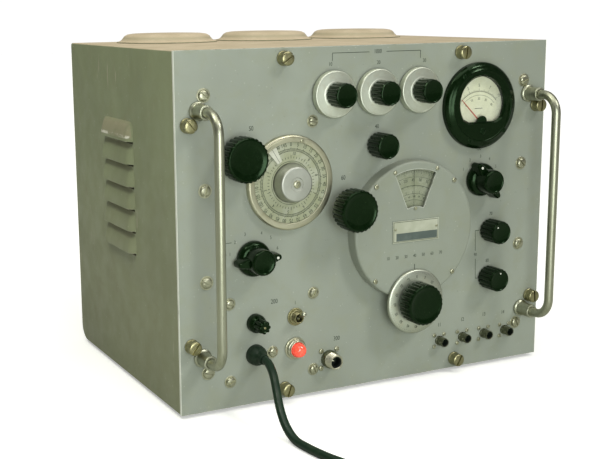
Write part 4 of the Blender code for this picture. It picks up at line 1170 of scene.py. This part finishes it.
bm = slotted(bmesh.new(), 4.0, 1.7, -17.3, angle=0.55, dome=0.7, width=1.1, depth=1.1)
make("attenuator_hub_screw", bm, "screw", (-100, 0, 223.5), "attenuator_dial")
bm = bmesh.new()
level = lambda r: -5.0
curve_line(bm, (0, 0), 33.8, 0.0, TAU * 0.999, 0.35, -5.02, 96, 0.06)
curve_line(bm, (0, 0), 31.6, 0.0, TAU * 0.999, 0.35, -5.02, 96, 0.06)
for j in range(150):
    a = TAU * j / 150
    ring_tick(bm, a, 31.6, 33.8 if j % 5 else 35.2, 0.38, level)
    if j % 5 == 0:
        ring_text(bm, j // 5 * 5, a, 38.0, 4.1, level)
    if j % 3 == 0:
        ring_tick(bm, a, 24.3, 26.2 if j % 15 else 27.6, 0.45, level)
    if j % 15 == 0:
        ring_text(bm, 10 - j // 15, a + 0.12, 28.9, 3.6, level)
curve_line(bm, (0, 0), 21.6, 0.0, TAU * 0.999, 0.4, -5.02, 96, 0.06)
make("attenuator_marks", bm, "ink", (-100, 0, 223.5), "attenuator_dial")

# ---------------------------------------------------------------- frequency dial and cover
COVER = (41.5, 0, 163.5)
bm = bmesh.new()
lathe(bm, rounded([(0, -15.5), (70.4, -15.5), (72.5, -14.6), (73, -12.9), (73, -0.3), (71.2, -0.3), (71.2, -13.7), (0, -13.7)], {1: 1.4, 2: 1.0, 3: 0.8}), 160)
cover = make("dial_housing", bm, "cover", COVER, replaces=["dial_cover"])
H = math.radians(23)


def sector(half, inner, outer, steps):
    up = math.pi / 2
    return arc((0, 0), inner, up - half, up + half, steps) + arc((0, 0), outer, up + half, up - half, steps * 2)


booleans(cover, [(prism(bmesh.new(), sector(H, 25.5, 64.5, 16), -20, -10), "DIFFERENCE"),
                 (lathe(bmesh.new(), [(0, -30), (12.5, -30), (12.5, 6), (0, 6)], 48, "Y", (-0.2, 0, -75.8)), "DIFFERENCE")], 30)
bm = prism(bmesh.new(), sector(H + 0.05, 22.5, 67.5, 16), -13.4, -12.2)
make("dial_pane", bm, "glass", COVER, replaces=["dial_window"], sharp=20)
bm = bmesh.new()
lathe(bm, rounded([(0, -11.4), (9, -11.4), (9, -9.8), (66.0, -9.8), (66.2, -9.6), (66.2, -8.4), (9, -8.4), (9, -3), (3, -3), (3, 60), (0, 60)], {1: 0.5}), 120)
make("frequency_disc", bm, "freq", COVER, "frequency_dial", ["frequency_dial"])
bm = bmesh.new()
level = lambda r: -9.8
for r, w in ((62.5, 0.35), (55.5, 0.3), (46.5, 0.5), (38.0, 0.3), (31.5, 0.3)):
    curve_line(bm, (0, 0), r, 0.0, TAU * 0.999, w, -9.82, 120, 0.06)
for j in range(180):
    a = TAU * j / 180
    ring_tick(bm, a, 58.6 if j % 5 == 0 else 60.2, 62.5, 0.3, level)
    if j % 4 == 0:
        ring_tick(bm, a, 44.6, 46.5, 0.28, level)
    if j % 6 == 0:
        ring_tick(bm, a, 38.0, 41.0, 0.3, level)
for j in range(36):
    a = TAU * j / 36
    ring_text(bm, 45 + j * 5, a, 52.4, 3.4, level)
    ring_text(bm, 100 - j, a + 0.05, 34.8, 2.2, level)
make("frequency_disc_marks", bm, "ink", COVER, "frequency_dial")
bm = bmesh.new()
line(bm, 0, 22.6, 0, 67, 0.35, -12.15)
make("dial_hairline", bm, "ink", COVER)
bm = bmesh.new()
for x, z, r in ((-48.5, 49.5, 2.7), (48.5, 49.5, 2.7), (-48.5, -49.5, 2.7), (48.5, -49.5, 2.7), (-0.2, 24.1 - 0.6, 1.9)):
    slotted(bm, r, 1.3, -15.5, x, z, 0.5 + 0.02 * x, dome=0.85, width=0.7, depth=0.8, n=24)
for x, z in ((-25.8, 62.5), (26.5, 63.5)):
    lathe(bm, rounded([(0, -16.9), (1.2, -16.8), (2.1, -16.2), (2.3, -15.5), (0, -15.5)], {1: 0.4, 2: 0.4}), 20, "Y", (x, 0, z))
make("cover_screws", bm, "screw", COVER)
# the plate on the cover: a frame, a bare light field and a dark lower band
bm = bmesh.new()
x0, x1, z0, z1 = -28.5, 29.5, -11.8, 11.9
box(bm, (x0, x1), (-16.2, -15.5), (z0, z1), 1)
bevelled(bm, 0.25, 1, 60)
box(bm, (x0 + 1.2, x1 - 1.2), (-16.32, -16.1), (z0 + 1.2, z1 - 1.2), 2)
box(bm, (x0 + 4.6, x1 - 4.6), (-16.42, -16.2), (z0 + 11.4, z1 - 2.6), 1)
box(bm, (x0 + 4.6, x1 - 2.4), (-16.42, -16.2), (z0 + 2.2, z0 + 10.4), 0)
box(bm, (x0 + 1.7, x1 - 1.7), (-16.37, -16.2), (z0 + 1.7, z1 - 1.7), 1)
make("cover_plate", bm, ["plate_dark", "plate_light", "ink_soft"], COVER)
bm = bmesh.new()
for x in (x0 + 3.4, x1 - 3.4):
    slotted(bm, 1.3, 0.8, -16.35, x, 3.0, 0.4, dome=0.8, width=0.5, depth=0.5, n=20)
make("cover_plate_screws", bm, "screw", COVER)

# ---------------------------------------------------------------- meter
MET = (129.5, 0, 288.4)
bm = bmesh.new()
lathe(bm, rounded([(0, -9.8), (36.4, -9.8), (36.9, -10.4), (38.2, -10.4), (38.9, -9.9), (43, -8.6), (46, -5.6), (46, -0.3), (33.5, -0.3), (33.5, 40), (0, 40)], {2: 0.4, 3: 0.4, 5: 1.5, 6: 1.0}), 120)
meter = make("meter_body", bm, "bakelite", MET, replaces=["meter_case"])


def d_window(grow, steps=40):
    x, z, r, chord = 129.6 - MET[0], 291.0 - MET[2], 28.6 + grow, 271.6 - MET[2] - grow
    a = math.asin((chord - z) / r)
    pts = arc((x, z), r, a + 0.16, math.pi - a - 0.16, steps)
    lx = r * math.cos(a) * 0.80
    return pts + [(x - lx, chord), (x + lx, chord)]


flare_cut = bmesh.new()
outer, inner_w = d_window(1.8), d_window(0.0)
rows = [[flare_cut.verts.new((u, y, v)) for u, v in o] for y, o in ((-11.5, d_window(2.6)), (-9.79, outer), (-8.2, inner_w), (-4.0, inner_w))]
n = len(outer)
for a, b in zip(rows, rows[1:]):
    for k in range(n):
        flare_cut.faces.new((a[k], a[(k + 1) % n], b[(k + 1) % n], b[k]))
flare_cut.faces.new(rows[0])
flare_cut.faces.new(rows[-1])
bmesh.ops.recalc_face_normals(flare_cut, faces=flare_cut.faces)
booleans(meter, [(lathe(bmesh.new(), [(0, -6.5), (31.5, -6.5), (31.5, 36), (0, 36)], 72), "DIFFERENCE"), (flare_cut, "DIFFERENCE")], 30)
bm = lathe(bmesh.new(), [(0, -6.2), (31.2, -6.2), (31.2, -5.2), (0, -5.2)], 72)
make("meter_pane", bm, "glass", MET, replaces=["meter_glass"])
bm = lathe(bmesh.new(), rounded([(0, -1.5), (31.0, -1.5), (31.2, -1.3), (31.2, -0.5), (0, -0.5)], {1: 0.1}), 72)
make("meter_card", bm, "card", MET, replaces=["meter_scale_plate"])
PIV = (130.0 - MET[0], 272.0 - MET[2])
bm = bmesh.new()
for r, w in ((31.2, 0.4), (27.4, 0.3)):
    curve_line(bm, PIV, r, math.radians(42), math.radians(138), w, -1.52, 40, 0.05)
for j in range(41):
    a = math.radians(-45 + 90 * j / 40)
    r1 = 34.6 if j % 10 == 0 else (33.6 if j % 5 == 0 else 32.6)
    line(bm, PIV[0] + 31.2 * math.sin(a), PIV[1] + 31.2 * math.cos(a), PIV[0] + r1 * math.sin(a), PIV[1] + r1 * math.cos(a), 0.3, -1.52, 0.05)
    if j % 10 == 0:
        number(bm, j // 4, PIV[0] + 37.6 * math.sin(a), PIV[1] + 37.6 * math.cos(a), 3.6, -1.52, a, 0.05)
        number(bm, j, PIV[0] + 23.6 * math.sin(a), PIV[1] + 23.6 * math.cos(a), 2.8, -1.52, a, 0.05)
box(bm, (PIV[0] - 5, PIV[0] + 5), (-1.57, -1.52), (PIV[1] + 13, PIV[1] + 13.6))
make("meter_card_marks", bm, "ink", MET)
bm = bmesh.new()
prism(bm, [(-0.7, -7), (0.7, -7), (0.55, 12), (0.22, 33), (-0.22, 33), (-0.55, 12)], -3.6, -3.0)
bmesh.ops.rotate(bm, cent=(0, 0, 0), matrix=Matrix.Rotation(math.radians(-45), 3, "Y"), verts=bm.verts)
lathe(bm, rounded([(0, -4.4), (2.7, -4.4), (3.2, -3.9), (3.2, -2.2), (1.1, -2.2), (1.1, 4), (0, 4)], {1: 0.4}), 32, mat=1)
make("meter_needle", bm, ["red", "bakelite"], (130, 0, 272), "meter_pointer", ["meter_pointer"])
bm = bmesh.new()
prism(bm, arc((PIV[0], 271.7 - MET[2]), 6.2, 0, math.pi, 20), -8.4, -6.9)
make("meter_pivot_cover", bm, "bakelite_dull", MET)
bm = bmesh.new()
for x, z, r in ((-24.5, 31.0, 2.9), (-15.5, -36.0, 2.9), (28.6, -27.5, 2.9), (0.3, -27.0, 3.6)):
    slotted(bm, r, 1.1, -9.75 if math.hypot(x, z) < 36 else -9.2, x, z, 0.9 + x * 0.05, dome=0.7, width=0.8, depth=0.8, n=28)
make("meter_screws", bm, "bakelite_dull", MET)

# ---------------------------------------------------------------- switch, fuse, lamp, gland, connectors
bm = bmesh.new()
lathe(bm, [(0, -1.2), (4.0, -1.2), (4.0, -8.6), (4.4, -9.0), (5.0, -9.0)] + [(5.4 - 0.35 * (k % 2), -8.6 + 0.55 * k) for k in range(10)] + [(5.4, -3.3), (5.4, 12), (0, 12)], 48)
lathe(bm, rounded([(5.2, -3.4), (7.4, -3.4), (7.9, -2.9), (7.9, -1.5), (5.2, -1.5)], {1: 0.3, 2: 0.3}), 6 * 4, "Y", wave=lambda a, i, r: r if i == 0 else r * (0.93 + 0.07 * abs(math.cos(3 * a))))
lathe(bm, rounded([(5.0, -1.5), (8.9, -1.5), (9.2, -1.2), (9.2, -0.1), (5.0, -0.1)], {1: 0.3}), 48)
box(bm, (-6.6, 6.6), (8, 30), (-14, 14))
make("toggle_bushing", bm, "brass", (-93, 0, 84.6), replaces=["toggle_body"])
bm = bmesh.new()
lathe(bm, rounded([(0, 3.0), (2.1, 2.1), (3.0, 0), (2.1, -2.1), (1.4, -3.2), (1.5, -9), (2.3, -13.4), (2.6, -14.8), (2.2, -16.5), (0, -17)], {1: 1, 2: 1, 3: 1, 6: 1.5, 7: 0.9, 8: 0.8}), 40)
bmesh.ops.rotate(bm, cent=(0, 0, 0), matrix=Matrix.Rotation(math.radians(-27), 3, "X"), verts=bm.verts)
make("toggle_bat", bm, "rod", (-93, -5, 84.6), "toggle_lever", ["toggle_lever"])
bm = bmesh.new()
lathe(bm, rounded([(3.7, 34), (3.7, -11), (7.4, -11), (7.8, -10.4), (9.3, -7.2), (9.5, -6.4), (9.5, -0.3), (6.3, -0.3), (6.3, 34)], {2: 0.3, 4: 0.6}), 64, loop=True)
make("fuse_socket", bm, "bakelite", (-139, 0, 84.5), replaces=["fuse_holder"])
bm = bmesh.new()
lathe(bm, rounded([(0, -22.6), (3.9, -22.6), (4.5, -23), (5.6, -22.9), (6.6, -22.0), (7.0, -20.6), (7.2, -12.4), (7.3, -11.4), (0, -11.3)], {3: 0.6, 4: 0.6}), 128, "Y",
      wave=lambda a, i, r: r - (1.9 * (1 - abs(math.cos(4 * a)) ** 0.85) if r > 5.0 else 0))
lathe(bm, rounded([(0, -23.0), (1.1, -22.95), (1.4, -22.5), (0, -22.5)], {1: 0.3}), 32, mat=1)
make("fuse_cap_fluted", bm, ["bakelite", "brass"], (-139, 0, 84.5), "fuse_cap", ["fuse_cap"])
bm = bmesh.new()
lathe(bm, rounded([(0, -10.8), (3.2, -10.8), (3.2, -5), (3.0, -5), (3.0, 15), (3.2, 15), (3.2, 21), (0, 21)], {1: 0.4, 6: 0.4}), 40)
make("fuse_tube", bm, "nickel", (-139, 0, 84.5), "fuse", ["fuse"])
bm = bmesh.new()
lathe(bm, rounded([(7.7, 18), (7.7, -7.0), (8.0, -7.4), (8.8, -7.4), (9.2, -6.8), (9.2, -5.4), (10.0, -5.2), (10.4, -4.6), (10.4, -1.6), (11.6, -1.4), (11.8, -1.0), (11.8, -0.3), (8.4, -0.3), (8.4, 18)], {3: 0.2, 6: 0.3}), 72, loop=True)
make("lamp_ring", bm, "nickel", (-93.5, 0, 51.3), replaces=["lamp_bezel"])
bm = bmesh.new()
lathe(bm, rounded([(0, -16), (4, -15.3), (6.5, -13), (7.4, -9.5), (7.4, -1), (0, -1)], {1: 2, 2: 2, 3: 1.5}, 6), 64)
make("lamp_jewel", bm, "lamp", (-93.5, 0, 51.3), replaces=["lamp_lens"])
bm = bmesh.new()
lathe(bm, rounded([(0, -20.5), (5.0, -20.5), (5.3, -20.1), (5.6, -16.5), (6.3, -13), (8.6, -10.4), (10.1, -7), (10.5, -3), (10.5, -0.3), (8.0, -0.3), (8.0, 14), (0, 14)], {3: 1.5, 4: 1.5, 5: 1.5, 6: 1.5}), 64)
make("gland_bush", bm, "rubber", (-139, 0, 51.5), replaces=["cord_gland"])


def threads(r, y0, y1, pitch, depth):
    n = int((y1 - y0) / pitch * 2)
    return [(r - depth * (k % 2), y0 + (y1 - y0) * k / n) for k in range(n + 1)]


bm = bmesh.new()
lathe(bm, [(0, -9.3), (0.7, -9.5), (1.3, -9.2), (1.5, -8.6), (1.5, -5.5), (6, -5.5), (6, -15.6), (6.4, -16), (7.4, -16)] + threads(7.95, -15.4, -6.0, 0.95, 0.55)
      + [(7.9, -5.6), (7.9, 5.2), (5, 5.2), (5, 18), (0, 18)], 64)
lathe(bm, rounded([(7.6, -5.2), (9.0, -5.2), (9.4, -4.7), (9.4, -0.05), (7.6, -0.05)], {2: 0.3}), 64, mat=1)
box(bm, (-12.7, 12.7), (PANEL_T + 0.3, PANEL_T + 1.8), (-12.7, 12.7))
make("rf_output_socket", bm, ["nickel", "dark"], (-53.3, 0, 34), replaces=["rf_output_connector"])
bm = bmesh.new()
lathe(bm, [(4.9, -14.6), (5.9, -14.8), (6.05, -14.8), (6.05, -5.3), (1.55, -5.3), (1.55, -9.0), (2.6, -9.0), (2.6, -6.4), (4.9, -6.4)], 48, loop=True)
make("rf_output_insulator", bm, "bore", (-53.3, 0, 34))
for name, x in (("ext_mod_connector", 86.3), ("sync_in_connector", 117.0), ("sync_out_connector", 146.5), ("delayed_sync_connector", 175.3)):
    bm = bmesh.new()
    lathe(bm, rounded([(0, -6.5), (0.6, -6.6), (1, -6.2), (1, -4), (4.1, -4), (4.1, -11.2), (4.3, -11.5), (4.65, -11.5), (4.85, -11.1), (4.85, -2.2), (5.4, -2.0), (5.4, -0.3), (4.85, -0.3), (4.85, 6), (3.4, 6), (3.4, 15), (0, 15)], {1: 0.2}), 48)
    for sgn in (-1, 1):
        lathe(bm, [(0, sgn * 5.9), (0.85, sgn * 5.8), (1.0, sgn * 5.5), (1.0, sgn * 4.3), (0, sgn * 4.3)], 20, "X", (0, -8.4, 0))
    box(bm, (-8.7, 8.7), (PANEL_T + 0.3, PANEL_T + 1.8), (-8.7, 8.7))
    make(name + "_jack", bm, "dark", (x, 0, 33.5), replaces=[name])
    bm = bmesh.new()
    lathe(bm, [(3.5, -10.6), (4.05, -10.8), (4.15, -10.8), (4.15, -3.9), (1.05, -3.9), (1.05, -6.0), (2.2, -6.0), (2.2, -4.6), (3.5, -4.6)], 40, loop=True)
    make(name + "_insulator", bm, "bore", (x, 0, 33.5))

# ---------------------------------------------------------------- plain ticks, numbers and bracket lines on the panel
bm = bmesh.new()
Y0 = -0.02


def bracket(bm, x0, x1, z, drop, gap=None, w=0.55):
    parts = [(x0, gap[0]), (gap[1], x1)] if gap else [(x0, x1)]
    for a, b in parts:
        line(bm, a, z, b, z, w, Y0)
    line(bm, x0, z, x0, z - drop, w, Y0)
    line(bm, x1, z, x1, z - drop, w, Y0)


def dial_ticks(bm, x, z, r0, r1, lo, hi, count, labels=(), size=3.2, r_text=None, w=0.4):
    for k in range(count + 1):
        a = math.radians(lo + (hi - lo) * k / count)
        line(bm, x + r0 * math.sin(a), z + r0 * math.cos(a), x + r1 * math.sin(a), z + r1 * math.cos(a), w, Y0)
        if k < len(labels) and labels[k] != "":
            q = r_text or r1 + size
            number(bm, labels[k], x + q * math.sin(a), z + q * math.cos(a), size, Y0)


bracket(bm, -50.3, 54.8, 348.7, 7.8, (-7.1, 13.3))
for text, x, z, size in ((10, -52.5, 337.8, 4.0), (20, 4.0, 337.8, 4.0), (30, 60.0, 338.2, 4.0), (1000, 3.0, 348.9, 4.4), (40, 2.8, 273.0, 4.6),
                         (50, -141.0, 279.0, 4.8), (60, -37.0, 223.0, 5.0), (70, 152.0, 168.6, 4.0), (80, 149.0, 116.2, 4.0)):
    number(bm, text, x, z, size, Y0)
for k, (x, z) in enumerate(((-165.5, 157.1), (-160.0, 168.6), (-148.9, 175.5), (-130.7, 175.0), (-120.4, 169.5), (-113.0, 158.2))):
    number(bm, k + 1, x, z, 3.6, Y0)
line(bm, -176.0, 168.3, -163.5, 168.6, 0.5, Y0)
line(bm, -176.0, 157.2, -169.0, 157.1, 0.5, Y0)
for k, (x, z) in enumerate(((113.3, 220.5), (121.7, 229.9), (135.6, 233.2), (147.8, 229.5), (156.7, 220.7))):
    number(bm, k + 1, x, z, 3.4, Y0)
number(bm, 100, 133.0, 241.5, 4.2, Y0)
line(bm, 131.4, 151.7, 132.2, 129.0, 0.55, Y0)
line(bm, 132.5, 120.0, 133.2, 97.7, 0.55, Y0)
line(bm, 131.4, 151.7, 136.4, 151.4, 0.55, Y0)
line(bm, 133.2, 97.9, 137.6, 97.6, 0.55, Y0)
number(bm, 90, 132.4, 124.6, 3.6, Y0)
for k, (x, z) in enumerate(((86.3, 51.0), (117, 53.0), (146.5, 55.0), (173.0, 54.0))):
    number(bm, 11 + k, x, z, 4.4, Y0)
number(bm, 200, -117.0, 103.5, 5.0, Y0)
number(bm, 1, -93, 99.0, 3.8, Y0)
number(bm, 300, -44.0, 54.5, 4.8, Y0)
for k in range(7):
    number(bm, (k + 1) * 10, 41.3 + (k - 3) * 11.0, 136.5, 3.6, -15.52)
line(bm, 41.3, 122.0, 41.3, 127.5, 0.7, -15.52)
make("panel_marks", bm, "ink", (0, 0, 0))

# ---------------------------------------------------------------- floor
bm = bmesh.new()
prism(bm, [(-9000, -9000), (9000, -9000), (9000, 9000), (-9000, 9000)], -60, -4, "Z")
fm = Mat("studio_floor", (0.90, 0.90, 0.88), 0.8, 0.0, 0.15)
fm.b.inputs["Emission Color"].default_value = (1, 1, 0.99, 1)
fm.b.inputs["Emission Strength"].default_value = 0.38
fm.colour(fm.mix(fm.ramp(fm.noise(2.2, 3.0), 0.3, 0.7), (0.90, 0.90, 0.88), (0.93, 0.93, 0.91)))
fm.rough(fm.ramp(fm.noise(5.0, 2.0), 0.3, 0.7, 0.75, 0.9))
fm.bump(fm.noise(300.0, 2.0), 0.00005, 0.2)
# other surfaces are lit by a greyer floor than the one that is seen, so that the sides stay in shade
out = next(n for n in fm.t.nodes if n.type == "OUTPUT_MATERIAL")
ray = fm.node("ShaderNodeLightPath")
dull = fm.node("ShaderNodeBsdfDiffuse")
dull.inputs[0].default_value = (0.50, 0.52, 0.47, 1)
both = fm.node("ShaderNodeMixShader")
fm.link(ray.outputs["Is Camera Ray"], both.inputs[0])
fm.link(dull.outputs[0], both.inputs[1])
fm.link(fm.b.outputs[0], both.inputs[2])
fm.link(both.outputs[0], out.inputs[0])
M["floor"] = fm.m
make("floor", bm, "floor", (0, 0, 0), body=None, smooth=False)
